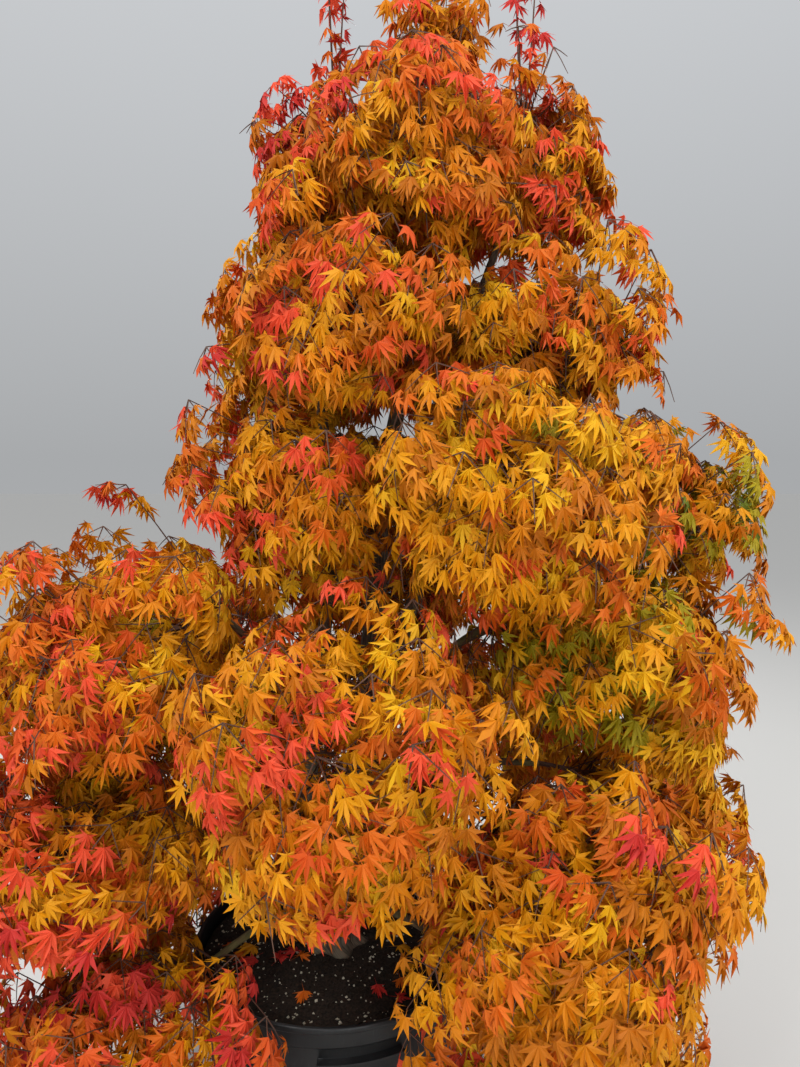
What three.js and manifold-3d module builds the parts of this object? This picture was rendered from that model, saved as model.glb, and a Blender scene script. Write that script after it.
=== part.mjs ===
// A Japanese maple in a black nursery pot, in its autumn leaf.
//
// Millimetres, +Z up. The origin is the middle of the pot's flat underside, and -Y is the front.
// The pot is filled with potting mix, and the plant stands on the mix: a short trunk that forks
// into three leaders, boughs that arch out from them, and masses of leaves in drooping tiers.
// Every mass keeps to a space of its own, so that no two of them meet.
import * as THREE from 'three';
import { mergeVertices } from 'three/addons/utils/BufferGeometryUtils.js';
import Module from 'manifold-3d';

const wasm = await Module();
wasm.setup();

// Clearances
const GAP = 0.3;
const SPACE_MARGIN = 1.2;
const LEAF_TO_LIMB = 12;
const TWIG_TO_LIMB = 7;
const LEAF_TO_POT = 26;
const LEAF_TO_LEAF = 6;
const TWIG_TO_LEAF = 9;

// The pot: a thin wall that widens upwards, a band below the rim, a rolled rim and two grips
const POT = {
  height: 440,
  rimRadius: 303,
  bandRadius: 296,
  wallTopRadius: 287,
  footRadius: 250,
  wall: 4,
  floor: 6,
  bandHeight: 46,
  rollHeight: 13,
  step: 4,
  footRound: 5,
  segments: 32,
};
const GRIP = {
  width: 165, height: 30, depth: 14, thickness: 5, turn: 14, sunk: 2.6, flare: 1.06, steps: 6,
};

// The potting mix: its level at the pot's wall and under the trunk
const MIX = { edgeLevel: 409, middleLevel: 420, flatRadius: 84, shoulderRadius: 144, shoulderDrop: 4 };
const MIX_SIDE = { foot: 0.4, top: 1, rise: 8 };

// Limbs: axis points as [x, y, z, radius], from the root to the tip
const TRUNK_AXIS = [
  [0, 0, MIX.middleLevel + GAP, 60], [0, 0, 434, 49], [6, 3, 462, 40], [13, 6, 520, 35],
  [22, 9, 585, 32.5], [30, 12, 640, 31],
];
const ROOT_FLARE = { sides: 15, lobes: 5, depth: 0.16, rings: 3 };
const MAIN_LEADER_AXIS = [
  [30, 12, 640, 30], [62, 20, 880, 26.5], [86, 24, 1150, 22.5], [104, 28, 1390, 18.5],
  [150, 34, 1650, 14.5], [190, 38, 1870, 11], [204, 40, 2080, 8],
];
const LEFT_LEADER_AXIS = [
  [18, 8, 560, 19], [-52, 2, 690, 18], [-44, -8, 900, 16.5], [-14, -12, 1150, 14.5],
  [-6, -14, 1390, 12.5], [-24, -6, 1650, 9.5], [-12, 14, 1900, 6.5],
];
const RIGHT_LEADER_AXIS = [
  [48, 16.5, 775, 17.5], [118, 42, 960, 16.5], [188, 60, 1250, 14], [242, 66, 1500, 11.5],
  [290, 62, 1750, 9], [345, 54, 1920, 6.5],
];
const LEADER_SIDES = 8;
const LEADER_SEAT = 14;
const BOUGH_SIDES = 6;
const TWIG_SIDES = 3;

// Tiers of foliage, from the ground up. Each tier is a ring of masses round a middle (x, y) that
// leans with the crown. Azimuths are in degrees from the front towards +X, and a sweep short of
// 360 leaves the front open. Every second mass hangs lower. The drop is how far below its mass a
// bough leaves the leader.
const TIERS = [
  { name: 'skirt', z: 450, x: 30, y: 10, ringX: 520, ringY: 470, count: 5, first: 46, sweep: 268,
    reach: 300, rise: 262, hang: 0, drop: -82, leaves: 12,
    tints: ['orange', 'amber'] },
  { name: 'low', z: 790, x: 62, y: 10, ringX: 565, ringY: 475, count: 6, first: 36, sweep: 264,
    reach: 335, rise: 262, hang: 30, drop: 80, leaves: 12,
    tints: ['orange', 'amber', 'gold'] },
  { name: 'shelf', z: 1105, x: 70, y: 20, ringX: 510, ringY: 420, count: 6, first: -60, sweep: 360,
    reach: 325, rise: 262, hang: 85, drop: 205, leaves: 12,
    tints: ['amber', 'gold'] },
  { name: 'middle', z: 1420, x: 270, y: 30, ringX: 305, ringY: 300, count: 5, first: 10, sweep: 360,
    reach: 315, rise: 262, hang: 60, drop: 220, leaves: 12,
    tints: ['gold', 'green', 'amber', 'gold', 'orange'] },
  { name: 'upper', z: 1735, x: 178, y: 40, ringX: 238, ringY: 230, count: 4, first: -30, sweep: 360,
    reach: 295, rise: 258, hang: 50, drop: 145, leaves: 12,
    tints: ['gold', 'orange'] },
  { name: 'high', z: 1985, x: 195, y: 38, ringX: 0, ringY: 165, count: 2, first: 0, sweep: 180,
    reach: 250, rise: 230, hang: 0, drop: 105, leaves: 12,
    tints: ['orange', 'amber'] },
  { name: 'top', z: 2030, x: 200, y: 36, ringX: 190, ringY: 14, count: 3, first: -90, sweep: 180,
    reach: 195, rise: 215, hang: 0, drop: 0, leaves: 12,
    tints: ['coral', 'orange', 'coral'] },
];
const TOP_CROWN = 175;

// A mass fills a drum with round shoulders: 2 would be an ellipsoid, and more is squarer
const SHOULDER = 2.8;

// Boughs carry these tiers; the stems of the others stand on a leader themselves
const BOUGH_TIERS = ['skirt', 'low', 'shelf', 'middle'];
const BOUGH = {
  rootRadius: 5,
  taper: 0.013,
  tipRadius: 6.4,
  rings: 5,
  entry: 0.56,
  lift: 0.22,
  arch: 0.16,
  stagger: 44,
};
const LEADER_END_ROOM = [60, 20];

// A mass: one stem, a straight twig from it to each leaf, and whips that stand above the top
const STEM = { rootRadius: 6.2, tipRadius: 4.4, rings: 4, end: 0.45, crest: 0.12, dip: 0.2, seat: 14 };
const TWIG = { rootRadius: 1.9, tipRadius: 1.3, setback: 0.42, seat: 0.38 };
const LEAF = { length: 0.98, thickness: 5, shell: 0.62, droop: 0.13, twist: 0.8, outward: 0.35 };
const LEAF_WANDER = { least: 0.94, more: 0.12 };
const LEAF_GROWTH = { least: 0.92, more: 0.16 };
const LEAF_FACING = { out: 0.8, level: 0.35, up: 0.55, fall: 0.7 };
const LEAF_STEPS = [0.35, 0.7, 1];
const LEAF_TRIES = [[1, 1], [1.1, 0.82], [0.9, 1], [1, 0.82], [0.8, 0.9], [1, 0.68], [0.8, 0.7]];
const WHIP = {
  reach: 92,
  radius: 3,
  lean: 20,
  foot: 0.95,
  tipRoom: 4,
  leaves: 3,
  leafLength: 92,
  leafOut: 16,
  leafUp: 8,
  leafTurn: 2.4,
  leafWander: 2,
  leafFacing: 0.7,
  leafFall: 0.9,
  first: 26,
  step: 84,
};
const WHIP_TOPS = [[2590, 2440], [2625, 2520], [2565, 2470]];

// The leaf's outline: lobes as [angle from the tip, reach, drop], both sides alike
const LOBES = [[0, 0.62, 1], [50, 0.57, 1], [106, 0.4, 0.7]];
const NOTCHES = [[25, 0.45, 0.5], [78, 0.38, 0.5]];
const LEAF_BASE = [180, 0.1, 0.1];

const FINISHES = {
  pot: { color: '#17181a', roughness: 0.55, metalness: 0 },
  mix: { color: '#2b211b', roughness: 1, metalness: 0 },
  bark: { color: '#6b5a48', roughness: 0.9, metalness: 0 },
  gold: { color: '#e8a013', roughness: 0.65, metalness: 0 },
  amber: { color: '#dd8212', roughness: 0.65, metalness: 0 },
  orange: { color: '#e4701c', roughness: 0.65, metalness: 0 },
  coral: { color: '#df5034', roughness: 0.65, metalness: 0 },
  green: { color: '#a8a02a', roughness: 0.65, metalness: 0 },
};

const UP = new THREE.Vector3(0, 0, 1);
const vector = (x, y, z) => new THREE.Vector3(x, y, z);
const radians = (degrees) => degrees * Math.PI / 180;

// A repeatable row of numbers between 0 and 1
function seededNumbers(seed) {
  let state = seed;
  return () => {
    state = (state * 48271) % 2147483647;
    return state / 2147483647;
  };
}

// Closed meshes as solids that can be joined and cut, and back again
function bareGeometry(vertices, triangles) {
  const geometry = new THREE.BufferGeometry();
  geometry.setAttribute('position', new THREE.Float32BufferAttribute(vertices, 3));
  geometry.setIndex(triangles);
  return geometry;
}

function solidOf(geometry) {
  const bare = geometry.clone();
  bare.deleteAttribute('normal');
  bare.deleteAttribute('uv');
  const merged = mergeVertices(bare, 1e-3);
  return new wasm.Manifold(new wasm.Mesh({
    numProp: 3,
    vertProperties: new Float32Array(merged.attributes.position.array),
    triVerts: new Uint32Array(merged.index.array),
  }));
}

// The largest body alone: loose scraps go, and a hollow sealed inside it is filled
function largestBody(solid) {
  const bodies = solid.decompose();
  return bodies.reduce((best, body) => (body.volume() > best.volume() ? body : best));
}

function geometryOf(solid) {
  const mesh = solid.getMesh();
  return bareGeometry(Array.from(mesh.vertProperties), Array.from(mesh.triVerts));
}

// A limb: rings of corners along an axis that bends, with flat ends
function ringFrames(points) {
  const frames = [];
  let side = null;
  points.forEach((point, i) => {
    const before = points[Math.max(i - 1, 0)];
    const after = points[Math.min(i + 1, points.length - 1)];
    const along = after.clone().sub(before).normalize();
    const start = Math.abs(along.z) > 0.9 ? vector(1, 0, 0) : UP;
    side = (side ?? start).clone().addScaledVector(along, -(side ?? start).dot(along)).normalize();
    frames.push({ point, along, side, across: along.clone().cross(side) });
  });
  return frames;
}

function limbGeometry(points, radii, sides, shape = () => 1) {
  const vertices = [];
  const triangles = [];
  ringFrames(points).forEach(({ point, side, across }, ring) => {
    for (let k = 0; k < sides; k += 1) {
      const angle = 2 * Math.PI * k / sides;
      const radius = radii[ring] * shape(angle, ring);
      const corner = point.clone()
        .addScaledVector(side, radius * Math.cos(angle))
        .addScaledVector(across, radius * Math.sin(angle));
      vertices.push(corner.x, corner.y, corner.z);
    }
  });
  for (let ring = 0; ring + 1 < points.length; ring += 1) {
    for (let k = 0; k < sides; k += 1) {
      const a = ring * sides + k;
      const b = ring * sides + (k + 1) % sides;
      triangles.push(a, b, b + sides, a, b + sides, a + sides);
    }
  }
  const last = (points.length - 1) * sides;
  for (let k = 1; k + 1 < sides; k += 1) {
    triangles.push(0, k + 1, k, last, last + k, last + k + 1);
  }
  return bareGeometry(vertices, triangles);
}

function limbFrom(axis, sides, shape = undefined) {
  const points = axis.map(([x, y, z]) => vector(x, y, z));
  const radii = axis.map(([, , , radius]) => radius);
  return { points, radii, sides, shape };
}

function limbSolid(limb, grown = 0) {
  const radii = limb.radii.map((radius) => radius + grown / Math.cos(Math.PI / limb.sides));
  return solidOf(limbGeometry(limb.points, radii, limb.sides, limb.shape));
}

// A limb's root starts on its parent's axis and is cut back to the surface of all older limbs
function cutBack(solid, older) {
  return largestBody(older.reduce((rest, limb) => rest.subtract(limbSolid(limb, GAP)), solid));
}

// The point on a limb's axis at a height
function axisAtHeight({ points }, z) {
  let i = 0;
  while (i + 2 < points.length && points[i + 1].z < z) i += 1;
  const t = THREE.MathUtils.clamp((z - points[i].z) / (points[i + 1].z - points[i].z), 0, 1);
  return points[i].clone().lerp(points[i + 1], t);
}

// The shortest distance between two straight stretches
function stretchDistance(p, q, r, s) {
  const u = q.clone().sub(p);
  const v = s.clone().sub(r);
  const w = p.clone().sub(r);
  const a = u.dot(u);
  const b = u.dot(v);
  const c = v.dot(v);
  const d = u.dot(w);
  const e = v.dot(w);
  const clamp = (x) => THREE.MathUtils.clamp(x, 0, 1);
  const spread = a * c - b * b;
  let along = spread > 1e-9 ? clamp((b * e - c * d) / spread) : 0;
  const other = clamp((b * along + e) / c);
  along = clamp((b * other - d) / a);
  return w.addScaledVector(u, along).addScaledVector(v, -other).length();
}

function clearOfLimbs(from, to, limbs, margin) {
  return limbs.every(({ points, radii }) => points.every((point, i) => {
    if (i + 1 === points.length) return true;
    const room = Math.max(radii[i], radii[i + 1]) + margin;
    return stretchDistance(from, to, point, points[i + 1]) > room;
  }));
}

function clearOfPot(point) {
  const apart = Math.hypot(point.x, point.y) > POT.rimRadius + LEAF_TO_POT;
  return apart || point.z > POT.height + LEAF_TO_POT;
}

// The pot and what it holds
function potGeometry() {
  const { height, rimRadius, bandRadius, wallTopRadius, footRadius, wall, step, footRound } = POT;
  const bandFoot = height - POT.bandHeight;
  const rollFoot = height - POT.rollHeight;
  const outside = [
    [0, 0], [footRadius - step, 0], [footRadius, footRound], [wallTopRadius, bandFoot - step],
    [bandRadius - step / 2, bandFoot], [bandRadius, rollFoot - step], [rimRadius - step / 2, rollFoot],
    [rimRadius, rollFoot + step], [rimRadius - step / 4, height - step / 2], [rimRadius - step, height],
  ];
  const inside = [
    [bandRadius - step, height - step / 2], [bandRadius - wall, bandFoot + step / 2],
    [wallTopRadius - wall, bandFoot - step], [footRadius - wall, POT.floor], [0, POT.floor],
  ];
  const profile = [...outside, ...inside].map(([radius, z]) => new THREE.Vector2(radius, z));
  const shell = new THREE.LatheGeometry(profile, POT.segments);
  shell.rotateX(Math.PI / 2);
  return shell;
}

// A grip: a curved lip that stands out below the band, sunk into the wall
function gripGeometry() {
  const { steps } = GRIP;
  const inner = POT.wallTopRadius - GRIP.sunk;
  const outer = POT.wallTopRadius + GRIP.depth;
  const half = GRIP.width / 2 / outer;
  const arc = (radius, spread) => Array.from({ length: steps + 1 }, (_, i) => {
    const angle = half * spread * (2 * i / steps - 1);
    return new THREE.Vector2(radius * Math.sin(angle), -radius * Math.cos(angle));
  });
  const outline = new THREE.Shape([...arc(outer, 1), ...arc(inner, GRIP.flare).reverse()]);
  const plate = new THREE.ExtrudeGeometry(outline, { depth: GRIP.thickness, bevelEnabled: false });
  plate.translate(0, 0, POT.height - POT.bandHeight - GRIP.height);
  return plate;
}

function potSolid() {
  let pot = solidOf(potGeometry());
  [0, 180].forEach((turn) => {
    const grip = gripGeometry();
    grip.rotateZ(radians(GRIP.turn + turn));
    pot = pot.add(solidOf(grip));
  });
  return largestBody(pot);
}

function mixGeometry() {
  const wallTop = POT.height - POT.bandHeight - POT.step;
  const slope = (POT.wallTopRadius - POT.footRadius) / (wallTop - POT.floor);
  const wallAt = (z) => POT.footRadius - POT.wall - GAP + slope * (z - POT.floor);
  const shoulder = wallTop - MIX_SIDE.rise;
  const profile = [
    [0, POT.floor + GAP], [wallAt(POT.floor) - MIX_SIDE.foot, POT.floor + GAP],
    [wallAt(shoulder) - MIX_SIDE.top, shoulder],
    [POT.wallTopRadius - POT.wall - 2 * MIX_SIDE.top, MIX.edgeLevel],
    [MIX.shoulderRadius, MIX.middleLevel - MIX.shoulderDrop],
    [MIX.flatRadius, MIX.middleLevel], [0, MIX.middleLevel],
  ].map(([radius, z]) => new THREE.Vector2(radius, z));
  const mix = new THREE.LatheGeometry(profile, POT.segments);
  mix.rotateX(Math.PI / 2);
  return mix;
}

// The trunk's foot spreads into root lobes that die away upwards
function flareShape(angle, ring) {
  const fade = Math.max(0, 1 - ring / ROOT_FLARE.rings);
  return 1 + ROOT_FLARE.depth * fade * Math.cos(ROOT_FLARE.lobes * angle);
}

// Foliage masses: where each one is and how far it reaches
function foliageMasses() {
  const masses = [];
  TIERS.forEach((tier) => {
    const step = tier.sweep / (tier.sweep === 360 ? tier.count : tier.count - 1);
    for (let i = 0; i < tier.count; i += 1) {
      const azimuth = radians(tier.first + i * step);
      const out = vector(Math.sin(azimuth), -Math.cos(azimuth), 0);
      const raised = tier.name === 'top' && i === 1 ? TOP_CROWN : -tier.hang * (i % 2);
      const centre = vector(tier.x + tier.ringX * out.x, tier.y + tier.ringY * out.y, tier.z + raised);
      masses.push({
        tier,
        out,
        centre,
        radii: vector(tier.reach, tier.reach, tier.rise),
        place: i,
        whips: tier.name === 'top' ? WHIP_TOPS[i] : null,
        rootHeight: tier.z - tier.drop + BOUGH.stagger * (i % 2 - 0.5),
        name: `${tier.name}_${i + 1}`,
        tint: tier.tints[i % tier.tints.length],
        seed: 7001 + 97 * masses.length,
      });
    }
  });
  return masses;
}

// How far out a mass an arm from its middle reaches, where 1 is the surface of its drum
function shareOut(mass, arm) {
  const across = Math.hypot(arm.x / mass.radii.x, arm.y / mass.radii.y);
  return (across ** SHOULDER + Math.abs(arm.z / mass.radii.z) ** SHOULDER) ** (1 / SHOULDER);
}

function reachAlong(mass, direction) {
  return 1 / shareOut(mass, direction);
}

// A mass's own space: inside its drum, or its whip's height, and this side of the planes that
// part it from the other masses
function ownSpace(mass, masses) {
  const planes = masses.filter((other) => other !== mass).map((other) => {
    const toward = other.centre.clone().sub(mass.centre);
    if (mass.whips && other.whips) toward.setZ(0);
    const distance = toward.length();
    toward.normalize();
    const own = reachAlong(mass, toward);
    const limit = distance * own / (own + reachAlong(other, toward)) - SPACE_MARGIN;
    return { toward, limit };
  });
  const contains = (point) => {
    const arm = point.clone().sub(mass.centre);
    const inMass = shareOut(mass, arm) < 1;
    const byWhip = Math.hypot(arm.x, arm.y) < WHIP.reach;
    const inWhip = mass.whips && arm.z > 0 && byWhip && point.z < mass.whips[0];
    return (inMass || inWhip) && planes.every(({ toward, limit }) => arm.dot(toward) < limit);
  };
  const wayOut = (direction) => planes.reduce((way, { toward, limit }) => {
    const slope = direction.dot(toward);
    return slope > 0 ? Math.min(way, limit / slope) : way;
  }, reachAlong(mass, direction));
  return { contains, wayOut };
}

// A leaf that stands for a spray: five pointed lobes on a low dome, as thick as its middle
function leafFrame(centre, normal, tipward, length) {
  const tip = tipward.clone().addScaledVector(normal, -tipward.dot(normal)).normalize();
  return { centre, normal, tip, side: normal.clone().cross(tip), length };
}

function leafPoint(leaf, [angle, reach, drop], sign = 1) {
  const turn = radians(angle) * sign;
  return leaf.centre.clone()
    .addScaledVector(leaf.tip, leaf.length * reach * Math.cos(turn))
    .addScaledVector(leaf.side, leaf.length * reach * Math.sin(turn))
    .addScaledVector(leaf.normal, -leaf.length * LEAF.droop * drop);
}

function leafOutline(leaf) {
  const half = [LOBES[0], NOTCHES[0], LOBES[1], NOTCHES[1], LOBES[2]];
  const left = half.map((mark) => leafPoint(leaf, mark, 1));
  const right = half.slice(1).map((mark) => leafPoint(leaf, mark, -1)).reverse();
  return [...left, leafPoint(leaf, LEAF_BASE), ...right];
}

function leafGeometry(leaf) {
  const outline = leafOutline(leaf);
  const top = leaf.centre.clone().addScaledVector(leaf.normal, LEAF.thickness / 2);
  const under = leaf.centre.clone().addScaledVector(leaf.normal, -LEAF.thickness / 2);
  const vertices = [...outline, top, under].flatMap((point) => point.toArray());
  const triangles = [];
  outline.forEach((_, i) => {
    const next = (i + 1) % outline.length;
    triangles.push(i, next, outline.length, next, i, outline.length + 1);
  });
  return bareGeometry(vertices, triangles);
}

// A twig ends inside the leaf, under the face that is nearest to the twig's root
function leafSeat(leaf, from) {
  const outline = leafOutline(leaf);
  const seats = outline.map((corner, i) => corner.clone()
    .add(outline[(i + 1) % outline.length]).multiplyScalar(TWIG.seat / 2)
    .addScaledVector(leaf.centre, 1 - TWIG.seat));
  return seats.reduce((best, seat) => (seat.distanceTo(from) < best.distanceTo(from) ? seat : best));
}

// Stretches of twigs and leaves that grew before keep a margin
function clearOfGrown(from, to, grown, margin) {
  return grown.every(([start, end]) => stretchDistance(from, to, start, end) > margin);
}

// A leaf fits where it stays in the mass's space, off the pot, the limbs and what grew before
function leafFits(leaf, room) {
  if (!room.contains(leaf.centre)) return false;
  const outline = leafOutline(leaf);
  return outline.every((corner, i) => {
    const between = corner.clone().lerp(outline[(i + 1) % outline.length], 0.5);
    const steps = LEAF_STEPS.map((t) => leaf.centre.clone().lerp(corner, t));
    return room.contains(corner) && steps.every(clearOfPot)
      && clearOfLimbs(leaf.centre, corner, room.limbs, LEAF_TO_LIMB)
      && clearOfLimbs(leaf.centre, between, room.limbs, LEAF_TO_LIMB)
      && clearOfGrown(leaf.centre, corner, [...room.leaves, ...room.twigs], LEAF_TO_LEAF);
  });
}

function twigFits(from, to, room) {
  return room.contains(to) && clearOfPot(to) && clearOfLimbs(from, to, room.limbs, TWIG_TO_LIMB)
    && clearOfGrown(from, to, room.leaves, TWIG_TO_LEAF);
}

// The stem of a mass runs from its root past the middle, rising a little and then drooping
function stemPoints(mass, root) {
  const upward = mass.whips !== null;
  const end = upward ? mass.centre.clone().addScaledVector(UP, mass.radii.z * STEM.end)
    : mass.centre.clone().addScaledVector(mass.out, mass.tier.reach * STEM.end)
      .addScaledVector(UP, -mass.radii.z * STEM.dip);
  const crest = mass.centre.clone().addScaledVector(UP, upward ? 0 : mass.radii.z * STEM.crest);
  const curve = new THREE.QuadraticBezierCurve3(root, crest, end);
  return curve.getPoints(STEM.rings - 1);
}

function pointOnStem(points, t) {
  const place = THREE.MathUtils.clamp(t, 0, 1) * (points.length - 1);
  const i = Math.min(Math.floor(place), points.length - 2);
  return points[i].clone().lerp(points[i + 1], place - i);
}

// Leaves lie even on all sides of the mass, as shingles: faces outward and up, tips out and down
function spreadDirection(i, count, turn) {
  const z = 1 - 2 * (i + 0.5) / count;
  const ring = Math.sqrt(1 - z * z);
  const angle = turn + i * Math.PI * (3 - Math.sqrt(5));
  return vector(ring * Math.cos(angle), ring * Math.sin(angle), z);
}

function leafAt(mass, direction, way, twist, length) {
  const centre = direction.clone().multiplyScalar(way).add(mass.centre);
  const { out, level, up, fall } = LEAF_FACING;
  const normal = vector(direction.x * out, direction.y * out, direction.z * level + up).normalize();
  const flat = vector(direction.x, direction.y, 0).addScaledVector(mass.out, LEAF.outward);
  const tipward = flat.addScaledVector(UP, -fall).applyAxisAngle(normal, twist);
  return leafFrame(centre, normal, tipward, length);
}

// Twigs leave the stem behind their leaf, so that they slant forward
function twigStart(stem, target) {
  const chord = stem[stem.length - 1].clone().sub(stem[0]);
  const length = chord.length();
  const arm = target.clone().sub(stem[0]);
  const forward = arm.dot(chord) / length;
  const aside = Math.sqrt(Math.max(arm.lengthSq() - forward * forward, 0));
  return pointOnStem(stem, (forward - TWIG.setback * aside) / length);
}

function twigSolid(from, to, rootRadius = TWIG.rootRadius) {
  return solidOf(limbGeometry([from, to], [rootRadius, TWIG.tipRadius], TWIG_SIDES));
}

// Whips rise from the end of a top mass's stem and lean apart, with small leaves in steps
function whipSolids(mass, foot, room, random) {
  const solids = [];
  mass.whips.forEach((height, side) => {
    const lean = WHIP.lean * (side === 0 ? -1 : 1);
    const head = vector(mass.centre.x + lean, mass.centre.y - lean / 2, height - WHIP.tipRoom);
    solids.push(twigSolid(foot, head, WHIP.radius));
    for (let i = 0; i < WHIP.leaves - side; i += 1) {
      const angle = WHIP.leafTurn * i + WHIP.leafWander * random() + side;
      const outward = vector(Math.cos(angle), Math.sin(angle), 0);
      const below = (WHIP.first + WHIP.step * i) / (head.z - foot.z);
      const start = head.clone().lerp(foot, below);
      const centre = start.clone().addScaledVector(outward, WHIP.leafOut)
        .addScaledVector(UP, WHIP.leafUp);
      const normal = outward.clone().add(UP).multiplyScalar(WHIP.leafFacing).normalize();
      const tipward = outward.addScaledVector(UP, -WHIP.leafFall);
      const leaf = leafFrame(centre, normal, tipward, WHIP.leafLength);
      if (leafOutline(leaf).every(room.contains)) {
        solids.push(twigSolid(start, leafSeat(leaf, start)), solidOf(leafGeometry(leaf)));
      }
    }
  });
  return solids;
}

function massSolid(mass, room) {
  const random = seededNumbers(mass.seed);
  const stem = stemPoints(mass, mass.root);
  const stemRadii = stem.map((_, i) => THREE.MathUtils.lerp(
    STEM.rootRadius, STEM.tipRadius, i / (stem.length - 1),
  ));
  const stemLimb = { points: [...stem], radii: stemRadii, sides: TWIG_SIDES };
  if (mass.below) seatOnEnd(stemLimb, mass.below, STEM.seat);
  stem.slice(1).forEach((point, i) => room.twigs.push([stem[i], point]));
  let solid = limbSolid(stemLimb);
  const count = mass.tier.leaves;
  const turn = random() * 2 * Math.PI;
  for (let i = 0; i < count; i += 1) {
    const spread = spreadDirection(i, count, turn);
    const direction = spread.multiply(mass.radii).normalize();
    const way = LEAF.shell * room.wayOut(direction);
    const wander = LEAF_WANDER.least + LEAF_WANDER.more * random();
    const twist = LEAF.twist * (random() - 0.5);
    const growth = LEAF_GROWTH.least + LEAF_GROWTH.more * random();
    const length = LEAF.length * mass.tier.reach * growth;
    for (const [shell, size] of LEAF_TRIES) {
      const leaf = leafAt(mass, direction, way * wander * shell, twist, length * size);
      const start = twigStart(stem, leaf.centre);
      const seat = leafSeat(leaf, start);
      if (leafFits(leaf, room) && twigFits(start, seat, room)) {
        solid = solid.add(twigSolid(start, seat)).add(solidOf(leafGeometry(leaf)));
        room.twigs.push([start, seat]);
        room.leaves.push(...leafOutline(leaf).map((corner) => [leaf.centre, corner]));
        break;
      }
    }
  }
  if (mass.whips) {
    const foot = pointOnStem(stem, WHIP.foot);
    whipSolids(mass, foot, room, random).forEach((piece) => {
      solid = solid.add(piece);
    });
  }
  return mass.below ? largestBody(solid) : cutBack(solid, room.leaders);
}

// The leader that carries a mass: the one that stands furthest towards it at that height
function leaderFor(mass, leaders) {
  const z = mass.rootHeight;
  const [above, below] = LEADER_END_ROOM;
  const within = leaders.filter(({ points }) => points[0].z < z - above
    && points[points.length - 1].z > z + below);
  return within.reduce((best, leader) => {
    const lead = (limb) => axisAtHeight(limb, z).dot(mass.out);
    return lead(leader) > lead(best) ? leader : best;
  });
}

// A bough arches from its leader to the near side of its mass, where the mass's stem takes over
function boughFor(mass, leader) {
  const start = axisAtHeight(leader, mass.rootHeight);
  const flat = mass.centre.clone().sub(start).setZ(0);
  const entry = Math.min(mass.tier.reach, flat.length()) * BOUGH.entry;
  const end = mass.centre.clone().addScaledVector(flat.normalize(), -entry)
    .addScaledVector(UP, mass.radii.z * BOUGH.lift);
  const span = end.distanceTo(start);
  const bend = start.clone().lerp(end, 0.5).addScaledVector(UP, span * BOUGH.arch);
  const points = new THREE.QuadraticBezierCurve3(start, bend, end).getPoints(BOUGH.rings - 1);
  const rootRadius = BOUGH.rootRadius + BOUGH.taper * span;
  const radii = points.map((_, i) => THREE.MathUtils.lerp(
    rootRadius, BOUGH.tipRadius, i / (points.length - 1),
  ));
  return { points, radii, sides: BOUGH_SIDES };
}

function limbEnd(limb) {
  const last = limb.points[limb.points.length - 1];
  const along = last.clone().sub(limb.points[limb.points.length - 2]).normalize();
  return { last, along };
}

// A limb that grows on from another's end starts a gap beyond it, square to it
function seatOnEnd(limb, below, seat) {
  const { last, along } = limbEnd(below);
  limb.points[0] = last.clone().addScaledVector(along, GAP);
  limb.points.splice(1, 0, limb.points[0].clone().addScaledVector(along, seat));
  limb.radii.splice(1, 0, limb.radii[0]);
}

// The named pieces
const tree = new THREE.Group();
tree.name = 'japanese_maple';

function addPiece(name, geometry, finish) {
  const material = new THREE.MeshStandardMaterial(FINISHES[finish]);
  material.name = finish;
  const mesh = new THREE.Mesh(geometry, material);
  mesh.name = name;
  tree.add(mesh);
}

addPiece('nursery_pot', geometryOf(potSolid()), 'pot');
addPiece('potting_mix', geometryOf(solidOf(mixGeometry())), 'mix');

const trunk = limbFrom(TRUNK_AXIS, ROOT_FLARE.sides, flareShape);
const mainLeader = limbFrom(MAIN_LEADER_AXIS, LEADER_SIDES);
const leftLeader = limbFrom(LEFT_LEADER_AXIS, LEADER_SIDES);
const rightLeader = limbFrom(RIGHT_LEADER_AXIS, LEADER_SIDES);
seatOnEnd(mainLeader, trunk, LEADER_SEAT);
const leaders = [mainLeader, leftLeader, rightLeader];
const leadersAcross = [leftLeader, mainLeader, rightLeader];

addPiece('trunk', geometryOf(limbSolid(trunk)), 'bark');
addPiece('leader_main', geometryOf(limbSolid(mainLeader)), 'bark');
addPiece('leader_left', geometryOf(cutBack(limbSolid(leftLeader), [trunk, mainLeader])), 'bark');
addPiece('leader_right', geometryOf(cutBack(limbSolid(rightLeader), [mainLeader])), 'bark');

const masses = foliageMasses();
const limbs = [trunk, ...leaders];
masses.forEach((mass) => {
  if (mass.whips) {
    mass.below = leadersAcross[mass.place];
    mass.root = limbEnd(mass.below).last;
    return;
  }
  const leader = mass.tier.name === 'skirt' ? trunk : leaderFor(mass, leaders);
  if (!BOUGH_TIERS.includes(mass.tier.name)) {
    mass.root = axisAtHeight(leader, mass.rootHeight);
    return;
  }
  const bough = boughFor(mass, leader);
  limbs.push(bough);
  addPiece(`bough_${mass.name}`, geometryOf(cutBack(limbSolid(bough), [trunk, ...leaders])), 'bark');
  mass.below = bough;
  mass.root = limbEnd(bough).last;
});

masses.forEach((mass) => {
  const room = { ...ownSpace(mass, masses), limbs, leaders, twigs: [], leaves: [] };
  addPiece(`foliage_${mass.name}`, geometryOf(massSolid(mass, room)), mass.tint);
});

export default tree;
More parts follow.
